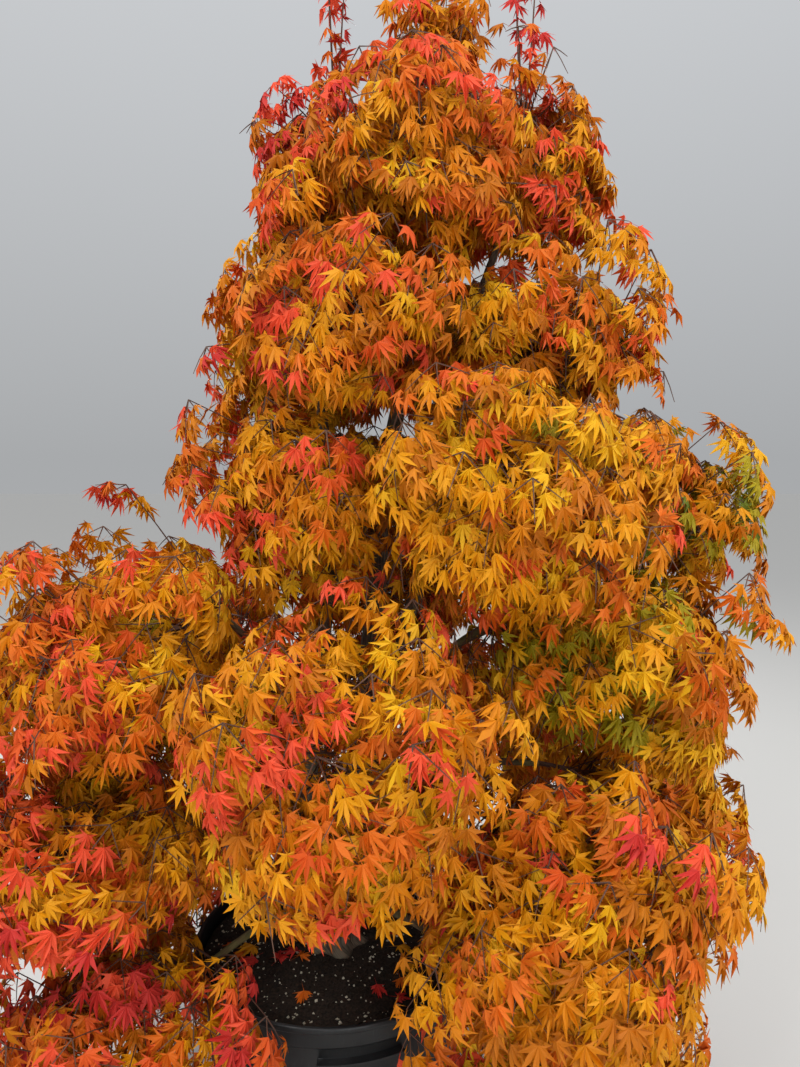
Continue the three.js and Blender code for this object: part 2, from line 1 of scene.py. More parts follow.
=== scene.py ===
# %% [markdown]
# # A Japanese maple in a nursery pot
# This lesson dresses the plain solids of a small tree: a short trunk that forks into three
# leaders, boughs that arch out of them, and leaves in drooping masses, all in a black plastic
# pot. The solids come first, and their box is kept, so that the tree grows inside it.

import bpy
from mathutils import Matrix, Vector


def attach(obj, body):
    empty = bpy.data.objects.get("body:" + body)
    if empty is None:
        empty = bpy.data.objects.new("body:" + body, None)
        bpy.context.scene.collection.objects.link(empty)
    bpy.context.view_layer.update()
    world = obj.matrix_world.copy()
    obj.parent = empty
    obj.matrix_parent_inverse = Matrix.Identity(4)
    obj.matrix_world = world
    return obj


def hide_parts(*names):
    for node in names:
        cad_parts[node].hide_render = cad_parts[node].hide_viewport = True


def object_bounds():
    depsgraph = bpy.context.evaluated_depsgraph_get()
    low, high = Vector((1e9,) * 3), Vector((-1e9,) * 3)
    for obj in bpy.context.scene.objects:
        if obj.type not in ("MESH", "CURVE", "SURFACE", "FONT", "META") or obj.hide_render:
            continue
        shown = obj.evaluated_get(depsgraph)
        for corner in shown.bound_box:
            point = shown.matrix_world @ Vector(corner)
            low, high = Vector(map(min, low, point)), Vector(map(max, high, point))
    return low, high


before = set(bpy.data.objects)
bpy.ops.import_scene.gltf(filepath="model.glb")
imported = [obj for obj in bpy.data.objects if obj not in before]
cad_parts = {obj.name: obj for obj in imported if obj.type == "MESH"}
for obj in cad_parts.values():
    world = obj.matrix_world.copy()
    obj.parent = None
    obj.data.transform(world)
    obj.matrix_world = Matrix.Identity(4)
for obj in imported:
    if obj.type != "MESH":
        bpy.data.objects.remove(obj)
solid_box = [list(corner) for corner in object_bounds()]
print("box of the solids", solid_box)

# %% [markdown]
# ## Camera
# The picture was taken standing, a metre and a half up and under two metres from the pot, with
# the phone tipped a little down. The lens follows from the picture's own perspective. It is set
# first, so that every trial render can be laid over the picture.

# %% The camera at the picture's angle
from collections import namedtuple
from functools import partial
from math import atan2, ceil, cos, degrees, hypot, pi, radians, sin, sqrt
from types import SimpleNamespace

import bpy
import numpy as np
from mathutils import Euler, Vector, noise
from numpy.linalg import norm
from numpy.random import default_rng

MM = 0.001
SENSOR, IMAGE_HEIGHT, FOCAL_PIXELS, TIPPED_DOWN = 36, 1067, 802, 5.5
camera_data = bpy.data.cameras.new("standing_view")
camera_data.sensor_width = SENSOR
camera_data.lens = SENSOR * FOCAL_PIXELS / IMAGE_HEIGHT
camera = bpy.data.objects.new("standing_view", camera_data)
camera.location = (0.140, -1.665, 1.475)
camera.rotation_euler = (radians(90 - TIPPED_DOWN), 0, 0)
bpy.context.collection.objects.link(camera)
bpy.context.scene.camera = camera
print("lens", round(camera_data.lens, 2), "mm")

# %% [markdown]
# ## Small helpers
# Colours are picked from the picture as sRGB codes, but shaders count in linear light, so one
# function turns them. Another adds a node with its settings and links, which keeps each material
# short; a link comes from a socket, or from a node's first output in use. The last two give a
# piece its finish and its place, and make a whole piece from points and faces.


# %% Colours, nodes and finished pieces
def linear(code):
    channels = [int(code[i : i + 2], 16) / 255 for i in (1, 3, 5)]
    light = [c / 12.92 if c <= 0.04045 else ((c + 0.055) / 1.055) ** 2.4 for c in channels]
    return (*light, 1.0)


def connect(node, links):
    for name, source in links.items():
        if hasattr(source, "outputs"):
            source = next(socket for socket in source.outputs if socket.enabled)
        node.id_data.links.new(source, node.inputs[name])


def add_node(owner, kind, settings=None, links=None):
    node = owner.node_tree.nodes.new(f"ShaderNode{kind}")
    for name, value in (settings or {}).items():
        if isinstance(name, str) and hasattr(node, name):
            setattr(node, name, value)
        else:
            node.inputs[name].default_value = value
    connect(node, links or {})
    return node


def new_material(name, **values):
    """A material, its shader, and add_node for this material."""
    material = bpy.data.materials.new(name)
    material.use_nodes = True
    shader = material.node_tree.nodes["Principled BSDF"]
    for socket, value in values.items():
        shader.inputs[socket.replace("_", " ")].default_value = value
    return material, shader, partial(add_node, material)


def finish_piece(piece, material, slot, nodes=()):
    piece.data.materials.clear()
    piece.data.materials.append(material)
    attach(piece, "root")
    if nodes:
        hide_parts(*nodes)
    print(piece.name, sum(len(p.vertices) - 2 for p in piece.data.polygons), "triangles")


def mesh_piece(name, vertices, faces, *finish):
    mesh = bpy.data.meshes.new(name)
    mesh.from_pydata(vertices, [], faces)
    piece = bpy.data.objects.new(name, mesh)
    bpy.context.collection.objects.link(piece)
    finish_piece(piece, *finish)


# %% [markdown]
# ## Pot plastic
# The pot is blow-moulded polyethylene, black all through. Outdoors it dulls, takes dust near the
# foot and gets pale scuffs. Two noises at real sizes, 60 mm for the dull patches and 5 mm for
# the scuffs, give that without any picture.


# %% Black polyethylene, blow-moulded and scuffed
def pot_plastic():
    material, shader, add = new_material("black_polyethylene_moulded", IOR=1.5, Metallic=0.0)
    place = add("TexCoord").outputs["Object"]
    patches = add("TexNoise", {"Scale": 1 / (60 * MM), "Detail": 4.0}, {"Vector": place})
    stretched = add("Mapping", {"Scale": (1.0, 1.0, 0.16)}, {"Vector": place})
    scuffs = add(
        "TexNoise", {"Scale": 1 / (5 * MM), "Detail": 3.0, "Roughness": 0.7}, {"Vector": stretched}
    )
    worn = add("MapRange", {"From Min": 0.56, "From Max": 0.78, "To Max": 0.6}, {"Value": scuffs})
    colours = {"data_type": "RGBA", 6: linear("#0f1011"), 7: linear("#313336")}
    scuffed = add("Mix", colours, {0: worn})
    height = add("SeparateXYZ", {}, {"Vector": place}).outputs["Z"]
    splash = add("MapRange", {"From Min": 0.16, "From Max": 0.0, "To Max": 0.55}, {"Value": height})
    dust = add("Math", {"operation": "MULTIPLY"}, {0: splash, 1: patches})
    dusty = add("Mix", {"data_type": "RGBA", 7: linear("#6f675c")}, {0: dust, 6: scuffed})
    dull = add(
        "MapRange", {"From Min": 0.3, "From Max": 0.7, "To Min": 0.34, "To Max": 0.62},
        {"Value": patches},
    )
    relief = add("Bump", {"Strength": 0.12, "Distance": 0.4 * MM}, {"Height": scuffs})
    connect(shader, {"Base Color": dusty, "Roughness": dull, "Normal": relief})
    return material


POT_PLASTIC = pot_plastic()
print(POT_PLASTIC.name, len(POT_PLASTIC.node_tree.nodes), "nodes")

# %% [markdown]
# ## The pot
# A pot is round, so it grows from one disc: each step extrudes and scales it, up the outside,
# over the rolled rim and down inside, as it would be done by hand. That leaves one closed shell
# with an even wall. The faces of the two grips under the rim are picked by place and pulled out
# of the wall, and drain slots are pushed in at the foot.

# %% Sizes of the pot
POT_HEIGHT, RIM_RADIUS, BAND_RADIUS, WALL_TOP_RADIUS, FOOT_RADIUS = 440, 303, 296, 287, 250
BAND_FOOT, POT_SIDES = POT_HEIGHT - 46, 144
GRIP_TOP, GRIP_FOOT, GRIP_DEPTH, GRIP_WIDTH, GRIP_TURN, GRIP_PULL = 369, 364, 14, 165, 14, 17
SLOT_TOP, SLOT_FOOT, SLOT_STEP, SLOT_HALF, SLOT_LIP, SLOT_PUSH = 34, 12, 45, 5.2, 2.2, 3
GRIP_HALF = degrees(GRIP_WIDTH / 2 / (WALL_TOP_RADIUS + GRIP_DEPTH))


def wall_radius(z):
    return FOOT_RADIUS + (WALL_TOP_RADIUS - FOOT_RADIUS) * (z - 5) / (BAND_FOOT - 9)


POT_PROFILE = [
    (FOOT_RADIUS - 4, 0), (FOOT_RADIUS - 1, 1.2), (FOOT_RADIUS, 5),
    *((wall_radius(z), z) for z in (SLOT_FOOT, SLOT_TOP, 120, 240, GRIP_FOOT, GRIP_TOP, 386)),
    (WALL_TOP_RADIUS + 1, 391), (BAND_RADIUS - 2, BAND_FOOT), (BAND_RADIUS, BAND_FOOT + 4),
    (BAND_RADIUS, 420), (BAND_RADIUS + 1, 424), (RIM_RADIUS - 2, 427), (RIM_RADIUS, 430),
    (RIM_RADIUS, 435), (RIM_RADIUS - 1.5, 438.5), (RIM_RADIUS - 4.5, POT_HEIGHT),
    (RIM_RADIUS - 8, 439), (BAND_RADIUS - 4, 435), (BAND_RADIUS - 4.5, BAND_FOOT + 3),
    (WALL_TOP_RADIUS - 4, BAND_FOOT - 5), (FOOT_RADIUS - 4, 7), (60, 7),
]


# %% Extrude the pot ring by ring
def start_disc(name, sides, radius, middle):
    """A disc in edit mode, from sizes in millimetres, to be cut or extruded."""
    bpy.ops.mesh.primitive_circle_add(
        vertices=sides, radius=radius * MM, fill_type="NGON", location=[c * MM for c in middle]
    )
    piece = bpy.context.object
    piece.name = piece.data.name = name
    bpy.ops.object.transform_apply()
    bpy.ops.object.mode_set(mode="EDIT")
    bpy.ops.mesh.select_all(action="SELECT")
    return piece


def tidy_shell():
    """Join what meets, turn all faces outwards, and leave edit mode."""
    bpy.ops.mesh.select_all(action="SELECT")
    bpy.ops.mesh.remove_doubles(threshold=1e-6)
    bpy.ops.mesh.normals_make_consistent(inside=False)
    bpy.ops.object.mode_set(mode="OBJECT")


def extrude_rings(name, rings, sides):
    """A closed shell through rings, each a row of x, y, z and radius in millimetres."""
    rings = np.array(rings, float)
    piece = start_disc(name, sides, rings[0, 3], rings[0, :3])
    for before, ring in zip(rings, rings[1:]):
        move, scale = (ring - before)[:3] * MM, ring[3] / before[3]
        bpy.ops.mesh.extrude_region_move(TRANSFORM_OT_translate={"value": tuple(move)})
        bpy.ops.transform.resize(value=(scale, scale, 1), center_override=tuple(ring[:3] * MM))
    tidy_shell()
    return piece


pot_piece = extrude_rings("pot_shell", [(0, 0, z, r) for r, z in POT_PROFILE], POT_SIDES)
loose = sum(edge.is_loose for edge in pot_piece.data.edges)
print("pot rings", len(POT_PROFILE), "loose edges", loose)


# %% Pull out the grips and push in the drain slots
def pick_faces(piece, foot, top, radius, turn, step, half):
    """Select outer faces between two heights, round places a step of degrees apart."""
    bpy.ops.object.mode_set(mode="OBJECT")
    for group in (piece.data.vertices, piece.data.edges, piece.data.polygons):
        group.foreach_set("select", [False] * len(group))
    for face in piece.data.polygons:
        place, level = face.center.xy, foot * MM < face.center.z < top * MM
        outer = place.length > radius * MM and face.normal.xy.dot(place) > 0
        off = abs((degrees(atan2(place.y, place.x)) - turn) % step - step / 2)
        face.select = outer and level and off < half
    print("faces picked", sum(face.select for face in piece.data.polygons))
    bpy.ops.object.mode_set(mode="EDIT")


def push_faces(distance):
    bpy.ops.mesh.extrude_region_shrink_fatten(
        TRANSFORM_OT_shrink_fatten={"value": distance * MM, "use_even_offset": False}
    )


pick_faces(pot_piece, GRIP_FOOT, GRIP_TOP, WALL_TOP_RADIUS - 7, GRIP_TURN, 180, GRIP_HALF)
push_faces(GRIP_PULL)
pick_faces(pot_piece, SLOT_FOOT, SLOT_TOP, FOOT_RADIUS - 4, 0, SLOT_STEP, SLOT_HALF)
bpy.ops.mesh.inset(thickness=SLOT_LIP * MM)
push_faces(-SLOT_PUSH)
bpy.ops.object.mode_set(mode="OBJECT")

# %% Round the edges of the pot
bpy.context.view_layer.objects.active = pot_piece
edge_round = pot_piece.modifiers.new("moulded_edges", "BEVEL")
edge_round.width, edge_round.segments = 1.1 * MM, 2
edge_round.limit_method, edge_round.angle_limit = "ANGLE", radians(40)
bpy.ops.object.modifier_apply(modifier=edge_round.name)
pot_piece.select_set(True)
bpy.ops.object.shade_smooth_by_angle(angle=radians(38))
finish_piece(pot_piece, POT_PLASTIC, "pot", ["nursery_pot"])

# %% [markdown]
# ## Potting mix
# The mix is composted bark, dark and crumbly, with white grains of expanded rock in it. Its
# surface is a disc cut into rings and lifted by noise, in lumps of 42 mm and crumbs of 8 mm.
# Chips and grains lie loose on top; each kind is one small shape copied in an array.


# %% Composted bark mix and expanded rock
def bark_mix():
    material, shader, add = new_material("composted_bark_mix", IOR=1.4, Roughness=0.95)
    place = add("TexCoord").outputs["Object"]
    crumbs = add("TexNoise", {"Scale": 1 / (5 * MM), "Detail": 6.0}, {"Vector": place})
    damp = add("TexNoise", {"Scale": 1 / (70 * MM), "Detail": 2.0}, {"Vector": place})
    spread = add("MapRange", {"From Min": 0.32, "From Max": 0.68}, {"Value": crumbs})
    colours = {"data_type": "RGBA", 6: linear("#100c09"), 7: linear("#3e3024")}
    earth = add("Mix", colours, {0: spread})
    wet = add(
        "Mix", {"data_type": "RGBA", "blend_type": "MULTIPLY", 7: linear("#b0a090")},
        {0: damp, 6: earth},
    )
    relief = add("Bump", {"Strength": 0.9, "Distance": 1.5 * MM}, {"Height": crumbs})
    connect(shader, {"Base Color": wet, "Normal": relief})
    return material


def two_tone(name, dark, light, patch, **values):
    """A plain material that wavers between two colours, in patches of one size in mm."""
    material, shader, add = new_material(name, **values)
    place = add("TexCoord").outputs["Object"]
    share = add("TexNoise", {"Scale": 1 / (patch * MM), "Detail": 2.0}, {"Vector": place})
    colour = add("Mix", {"data_type": "RGBA", 6: linear(dark), 7: linear(light)}, {0: share})
    connect(shader, {"Base Color": colour})
    return material


BARK_MIX = bark_mix()
WHITE_ROCK = two_tone("expanded_rock_grains", "#8f8671", "#e6dec6", 4, IOR=1.5, Roughness=0.9)

# %% The surface of the mix
MIX_RADIUS, MIX_EDGE, MIX_MIDDLE, LEVEL_RADIUS, MIX_SIDES = 283.5, 409, 419, 84, 120
MIX_RINGS, RING_STEP, LUMP, LUMP_RISE, CRUMB, CRUMB_RISE = 26, 10.5, 42, 4.5, 8, 1.6


def lumps(place, size):
    """Slow noise from -1 to 1, in lumps of one size."""
    return noise.noise(Vector(place) / size)


def mix_level(x, y):
    """Height of the crumbly surface in millimetres at a place in metres."""
    slope = (hypot(x, y) / MM - LEVEL_RADIUS) / (MIX_RADIUS - LEVEL_RADIUS)
    smooth = MIX_MIDDLE - (MIX_MIDDLE - MIX_EDGE) * min(1, max(0, slope))
    uneven = LUMP_RISE * lumps((x, y, 0.3), LUMP * MM) + CRUMB_RISE * lumps((x, y, 1.7), CRUMB * MM)
    return smooth + uneven


mix_piece = start_disc("mix_surface", MIX_SIDES, MIX_RADIUS, (0, 0, MIX_EDGE))
for _ in range(MIX_RINGS):
    bpy.ops.mesh.inset(thickness=RING_STEP * MM, use_even_offset=False)
bpy.ops.mesh.poke()
bpy.ops.mesh.select_all(action="SELECT")
bpy.ops.mesh.subdivide(number_cuts=1)
bpy.ops.object.mode_set(mode="OBJECT")
for vertex in mix_piece.data.vertices:
    if vertex.co.xy.length < (MIX_RADIUS - 1) * MM:
        vertex.co.z = mix_level(vertex.co.x, vertex.co.y) * MM
mix_piece.data.shade_smooth()
finish_piece(mix_piece, BARK_MIX, "potting_mix", ["potting_mix"])

# %% Chips and grains scattered on it
GRAIN = [[1, 0, 0], [-1, 0.1, 0], [0, 1, 0.1], [0.1, -1, 0], [0, 0, 0.9], [0.1, 0, -0.9]]
CHIP = np.array(GRAIN) * (2.4, 1.0, 0.35)
GRAIN_FACES = np.array(
    [[0, 2, 4], [2, 1, 4], [1, 3, 4], [3, 0, 4], [2, 0, 5], [1, 2, 5], [3, 1, 5], [0, 3, 5]]
)


def scattered(template, count, seed, smallest, largest, tumble):
    """One joined array of copies of a small shape, lying on the mix."""
    rng = default_rng(seed)
    vertices, faces = [], []
    for _ in range(count):
        radius = (MIX_RADIUS - 8) * MM * sqrt(rng.uniform(0.05, 1))
        angle = rng.uniform(0, 2 * pi)
        x, y = radius * cos(angle), radius * sin(angle)
        turn, tilt = rng.uniform(0, 2 * pi), rng.normal(0, tumble)
        size = (smallest + (largest - smallest) * rng.uniform() ** 2) * MM
        shape = np.array(template) * size * rng.uniform(0.7, 1.3, 3)
        laid = np.array(Euler((tilt, 0, turn)).to_matrix())
        faces.extend((GRAIN_FACES + len(vertices)).tolist())
        vertices.extend((shape @ laid.T + (x, y, mix_level(x, y) * MM + 0.2 * size)).tolist())
    return vertices, faces


grains, chips = scattered(GRAIN, 620, 11, 1.0, 4.4, 0.8), scattered(CHIP, 1500, 12, 1.8, 5.6, 0.35)
mesh_piece("mix_white_grains", *grains, WHITE_ROCK, "potting_mix")
mesh_piece("mix_bark_chips", *chips, BARK_MIX, "potting_mix")

# %% [markdown]
# ## Bark
# Maple bark is thin: grey-brown and faintly furrowed on old wood, smoother and greener on young
# boughs. The furrows follow the limb, so the pattern reads a map in metres that is wrapped round
# it: across it the furrows are 5 mm apart, along it 34 mm long.


# %% Thin grey-brown bark
def bark(name, furrow, ridge, tinge, tinge_amount):
    material, shader, add = new_material(name, IOR=1.45, Roughness=0.82)
    wrap = add("UVMap", {"uv_map": "bark_map"})
    stretch = add("Mapping", {"Scale": (1 / (5 * MM), 1 / (34 * MM), 1)}, {"Vector": wrap})
    furrows = add(
        "TexNoise", {"Scale": 1.0, "Detail": 5.0, "Roughness": 0.62, "Distortion": 0.4},
        {"Vector": stretch},
    )
    spread = add("MapRange", {"From Min": 0.36, "From Max": 0.64}, {"Value": furrows})
    wood = add("Mix", {"data_type": "RGBA", 6: linear(furrow), 7: linear(ridge)}, {0: spread})
    place = add("TexCoord").outputs["Object"]
    patches = add("TexNoise", {"Scale": 1 / (55 * MM), "Detail": 3.0}, {"Vector": place})
    share = add(
        "MapRange", {"From Min": 0.45, "From Max": 0.7, "To Max": tinge_amount},
        {"Value": patches},
    )
    tinged = add("Mix", {"data_type": "RGBA", 7: linear(tinge)}, {0: share, 6: wood})
    relief = add("Bump", {"Strength": 0.55, "Distance": 1.2 * MM}, {"Height": furrows})
    connect(shader, {"Base Color": tinged, "Normal": relief})
    return material


OLD_BARK = bark("maple_bark_old_wood", "#30271f", "#766452", "#858b74", 0.4)
YOUNG_BARK = bark("maple_bark_young_wood", "#4a3a2a", "#7f6a4c", "#77793f", 0.6)

# %% [markdown]
# ## Limbs
# A limb is a bent line of points with a radius at each. The lines are the source's own, in
# millimetres. A smooth curve is run through them, so that the wood bends without corners.

# %% The lines of trunk and leaders
TRUNK_AXIS = [
    (0, 0, 418, 62), (0, 0, 434, 49), (6, 3, 462, 40), (13, 6, 520, 35), (22, 9, 585, 32.5),
    (30, 12, 640, 31),
]
LEADER_AXES = {
    "leader_main": [
        (30, 12, 640, 30), (62, 20, 880, 26.5), (86, 24, 1150, 22.5), (104, 28, 1390, 18.5),
        (150, 34, 1650, 14.5), (190, 38, 1870, 11), (204, 40, 2080, 8),
    ],
    "leader_left": [
        (18, 8, 560, 19), (-52, 2, 690, 18), (-44, -8, 900, 16.5), (-14, -12, 1150, 14.5),
        (-6, -14, 1390, 12.5), (-24, -6, 1650, 9.5), (-12, 14, 1900, 6.5),
    ],
    "leader_right": [
        (48, 16.5, 775, 17.5), (118, 42, 960, 16.5), (188, 60, 1250, 14), (242, 66, 1500, 11.5),
        (290, 62, 1750, 9), (345, 54, 1920, 6.5),
    ],
}
GAP, LEADER_SEAT = 0.3, 14


def unit(vector):
    return vector / norm(vector, axis=-1, keepdims=True)


def limb(rows):
    rows = np.array(rows, float)
    return SimpleNamespace(points=rows[:, :3], radii=rows[:, 3])


trunk = limb(TRUNK_AXIS)
leaders = main, left, right = [limb(rows) for rows in LEADER_AXES.values()]
# The main leader starts a gap beyond the trunk's end, square to it, as in the source.
up_trunk = unit(trunk.points[-1] - trunk.points[-2])
root = trunk.points[-1] + up_trunk * GAP
main.points = np.vstack([root, root + up_trunk * LEADER_SEAT, main.points[1:]])
main.radii = np.insert(main.radii, 1, main.radii[0])
print("leaders", [len(wood.points) for wood in leaders])


# %% A smooth curve through a limb's points
def smooth_line(wood, step):
    """Points and radii every few millimetres on a Catmull-Rom curve through the limb."""
    rows = np.column_stack([wood.points, wood.radii])
    rows = np.vstack([2 * rows[0] - rows[1], rows, 2 * rows[-1] - rows[-2]])
    made = []
    for a, b, c, d in zip(rows, rows[1:], rows[2:], rows[3:]):
        count = max(2, int(norm((c - b)[:3]) / step))
        for t in np.arange(count) / count:
            bend = (2 * a - 5 * b + 4 * c - d) * t**2 + (3 * b - a - 3 * c + d) * t**3
            made.append(0.5 * (2 * b + (c - a) * t + bend))
    made = np.array([*made, rows[-2]])
    return made[:, :3], made[:, 3]


def way_along(line):
    """How far along a line each of its points is."""
    return np.concatenate([[0], np.cumsum(norm(np.diff(line, axis=0), axis=1))])


# %% [markdown]
# ## The trunk
# The trunk is extruded from a disc like the pot, but each ring also moves along the leaning
# line. Root lobes and furrows are then pushed into the skin in code, which reads a limb's own
# coordinates: round it, and along it.

# %% Wrap a map round a limb and press the relief in
FURROW_WIDTH, FURROW_LENGTH, SWELL_LENGTH, SWELL = 6, 30, 55, 0.07


def press_bark(piece, line, radii, depth, seed):
    """Move the skin by fine furrows along the limb, and write the map that the bark reads."""
    mesh = piece.data
    places = np.array([vertex.co for vertex in mesh.vertices]) / MM
    nearest = norm(places[:, None] - line[None], axis=2).argmin(axis=1)
    arm, width = places - line[nearest], radii[nearest]
    along, angle = way_along(line)[nearest] + arm[:, 2] * 0.9, np.arctan2(arm[:, 1], arm[:, 0])
    round_it = np.column_stack([np.cos(angle), np.sin(angle)]) * width[:, None] / FURROW_WIDTH
    for i, vertex in enumerate(mesh.vertices):
        furrow = noise.fractal(Vector((*round_it[i], along[i] / FURROW_LENGTH + seed)), 1.0, 2.0, 3)
        swell = noise.noise(Vector((seed, along[i] / SWELL_LENGTH, angle[i] / 2.5)))
        places[i] += np.array(vertex.normal) * (depth * furrow + SWELL * width[i] * swell)
    mesh.vertices.foreach_set("co", (places * MM).ravel())
    corners = [loop.vertex_index for loop in mesh.loops]
    chart = np.column_stack([angle * width, along])[corners] * MM
    mesh.uv_layers.new(name="bark_map").data.foreach_set("uv", chart.ravel())
    mesh.shade_smooth()
    mesh.update()


# %% Extrude the trunk along its lean
ROOTS, ROOT_SWELL, ROOT_HEIGHT = 5, 0.16, 46
line, radii = smooth_line(trunk, 7)
trunk_piece = extrude_rings("trunk_bark", np.column_stack([line, radii]), 60)
for vertex in trunk_piece.data.vertices:
    height = vertex.co.z / MM
    axis = line[np.abs(line[:, 2] - height).argmin()] * MM
    x, y = vertex.co.x - axis[0], vertex.co.y - axis[1]
    fade = max(0, 1 - (height - TRUNK_AXIS[0][2]) / ROOT_HEIGHT)
    lobe = 1 + ROOT_SWELL * fade * cos(ROOTS * atan2(y, x))
    vertex.co.x, vertex.co.y = axis[0] + x * lobe, axis[1] + y * lobe
press_bark(trunk_piece, line, radii, 1.6, 3.0)
finish_piece(trunk_piece, OLD_BARK, "bark", ["trunk"])

# %% [markdown]
# ## Leaders and boughs
# These are long, slim and bent, so each is a curve with a round bevel that tapers from point to
# point, turned into a mesh. The root runs back into the parent limb and swells there, as a real
# branch collar does, so no seam shows.

# %% One limb from a bevelled curve
LIMB_STEP, COLLAR_LENGTH = 9, 2.2


def limb_piece(node, wood, sides, collar, depth, seed, material):
    line, radii = smooth_line(wood, LIMB_STEP)
    radii = radii * (1 + collar * np.exp(-way_along(line) / (COLLAR_LENGTH * radii[0])))
    bpy.ops.curve.primitive_nurbs_path_add()
    path = bpy.context.object
    path.name = f"{node}_bark"
    path.data.splines.clear()
    spline = path.data.splines.new("POLY")
    spline.points.add(len(line) - 1)
    spline.points.foreach_set("co", np.column_stack([line * MM, np.ones(len(line))]).ravel())
    spline.points.foreach_set("radius", radii * MM)
    path.data.dimensions, path.data.twist_mode = "3D", "MINIMUM"
    path.data.bevel_depth, path.data.bevel_resolution = 1.0, sides // 2 - 2
    path.data.use_fill_caps = True
    bpy.ops.object.convert(target="MESH")
    piece = bpy.context.object
    piece.data.name = piece.name
    bpy.ops.object.mode_set(mode="EDIT")
    tidy_shell()
    while piece.data.uv_layers:
        piece.data.uv_layers.remove(piece.data.uv_layers[0])
    press_bark(piece, line, radii, depth, seed)
    finish_piece(piece, material, "bark", [node])


for i, (name, wood) in enumerate(zip(LEADER_AXES, leaders)):
    limb_piece(name, wood, 32, 0.35 if i else 0.0, 1.1, 10.0 + i, OLD_BARK)

# %% [markdown]
# ## Masses of leaves
# The crown is thirty-one masses in seven tiers. A tier is a ring of masses round a middle that
# leans with the crown, and every second one hangs lower. A mass fills a drum with round
# shoulders, cut by planes that part it from its neighbours. The sizes are the source's own.

# %% The tiers and where their masses are
Tier = namedtuple("Tier", "name z x y ring_x ring_y count first sweep reach rise hang drop")
TIERS = [
    Tier("skirt", 450, 30, 10, 520, 470, 5, 46, 268, 300, 262, 0, -82),
    Tier("low", 790, 62, 10, 565, 475, 6, 36, 264, 335, 262, 30, 80),
    Tier("shelf", 1105, 70, 20, 510, 420, 6, -60, 360, 325, 262, 85, 205),
    Tier("middle", 1420, 270, 30, 305, 300, 5, 10, 360, 315, 262, 60, 220),
    Tier("upper", 1735, 178, 40, 238, 230, 4, -30, 360, 295, 258, 50, 145),
    Tier("high", 1985, 195, 38, 0, 165, 2, 0, 180, 250, 230, 0, 105),
    Tier("top", 2030, 200, 36, 190, 14, 3, -90, 180, 195, 215, 0, 0),
]
TOP_CROWN, STAGGER, SPACE_MARGIN, WHIP_REACH, SHOULDER, BOX_SLACK = 175, 44, 1.2, 92, 2.8, 20
WHIP_TOPS = [(2590, 2440), (2625, 2520), (2565, 2470)]
UP = np.array([0.0, 0.0, 1.0])


masses = []
for tier in TIERS:
    step = tier.sweep / (tier.count if tier.sweep == 360 else tier.count - 1)
    for i in range(tier.count):
        azimuth = radians(tier.first + i * step)
        out = np.array([sin(azimuth), -cos(azimuth), 0.0])
        top = tier.name == "top"
        raised = TOP_CROWN if top and i == 1 else -tier.hang * (i % 2)
        masses.append(SimpleNamespace(
            name=f"{tier.name}_{i + 1}", tier=tier, place=i, out=out,
            centre=out * (tier.ring_x, tier.ring_y, 0) + (tier.x, tier.y, tier.z + raised),
            radii=np.array([tier.reach, tier.reach, tier.rise], float),
            whips=WHIP_TOPS[i] if top else None,
            root_height=tier.z - tier.drop + STAGGER * (i % 2 - 0.5),
            seed=7001 + 97 * len(masses),
        ))
print(len(masses), "masses from", masses[0].name, "to", masses[-1].name)


# %% A mass's own space
def share_out(mass, arms):
    """How far out arms from a mass's middle reach, where 1 is the surface of its drum."""
    shares = np.abs(arms / mass.radii)
    across = np.hypot(shares[..., 0], shares[..., 1])
    return (across**SHOULDER + shares[..., 2] ** SHOULDER) ** (1 / SHOULDER)


def reach_along(mass, direction):
    return 1 / share_out(mass, direction)


box_low, box_high = np.array(solid_box) / MM + [[-BOX_SLACK], [BOX_SLACK]]


def own_space(mass, all_masses):
    """Two functions: is a point in the mass's space, and how far off is its border?"""
    planes = []
    for other in all_masses:
        if other is mass:
            continue
        arm = (other.centre - mass.centre) * (1, 1, 0 if mass.whips and other.whips else 1)
        toward = unit(arm)
        own = reach_along(mass, toward)
        limit = norm(arm) * own / (own + reach_along(other, toward)) - SPACE_MARGIN
        planes.append((*toward, limit))
    planes = np.array(planes)

    def contains(points, swell=1.0, slack=0.0):
        arm = np.atleast_2d(points) - mass.centre
        in_box = ((arm > box_low - mass.centre) & (arm < box_high - mass.centre)).all(axis=1)
        inside = share_out(mass, arm) < swell
        if mass.whips:
            by_whip = np.hypot(arm[:, 0], arm[:, 1]) < WHIP_REACH
            inside |= (arm[:, 2] > 0) & by_whip & (arm[:, 2] + mass.centre[2] < mass.whips[0])
        return inside & in_box & (arm @ planes[:, :3].T < planes[:, 3] + slack).all(axis=1)

    def way_out(direction, swell=1.0):
        slopes = planes[:, :3] @ direction
        ahead = slopes > 0
        to_plane = (planes[ahead, 3] / slopes[ahead]).min(initial=9999)
        return min(reach_along(mass, direction) * swell, to_plane)

    return contains, way_out


for mass in masses:
    mass.contains, mass.way_out = own_space(mass, masses)
print("way out of the first mass, straight up", round(masses[0].way_out(UP)), "mm")


# %% [markdown]
# ## Boughs
# A bough leaves the leader that stands furthest towards its mass and arches to the near side of
# the mass, where the mass's stem takes over. Masses high in the crown need no bough: their stems
# stand on a leader, or on its tip.

# %% The line of each bough
BOUGH_ENTRY, BOUGH_RISE, BOUGH_ARCH, BOUGH_TAPER, BOUGH_TIP = 0.56, 0.22, 0.16, 0.013, 6.4


def axis_at_height(wood, z):
    return np.array([np.interp(z, wood.points[:, 2], row) for row in wood.points.T])


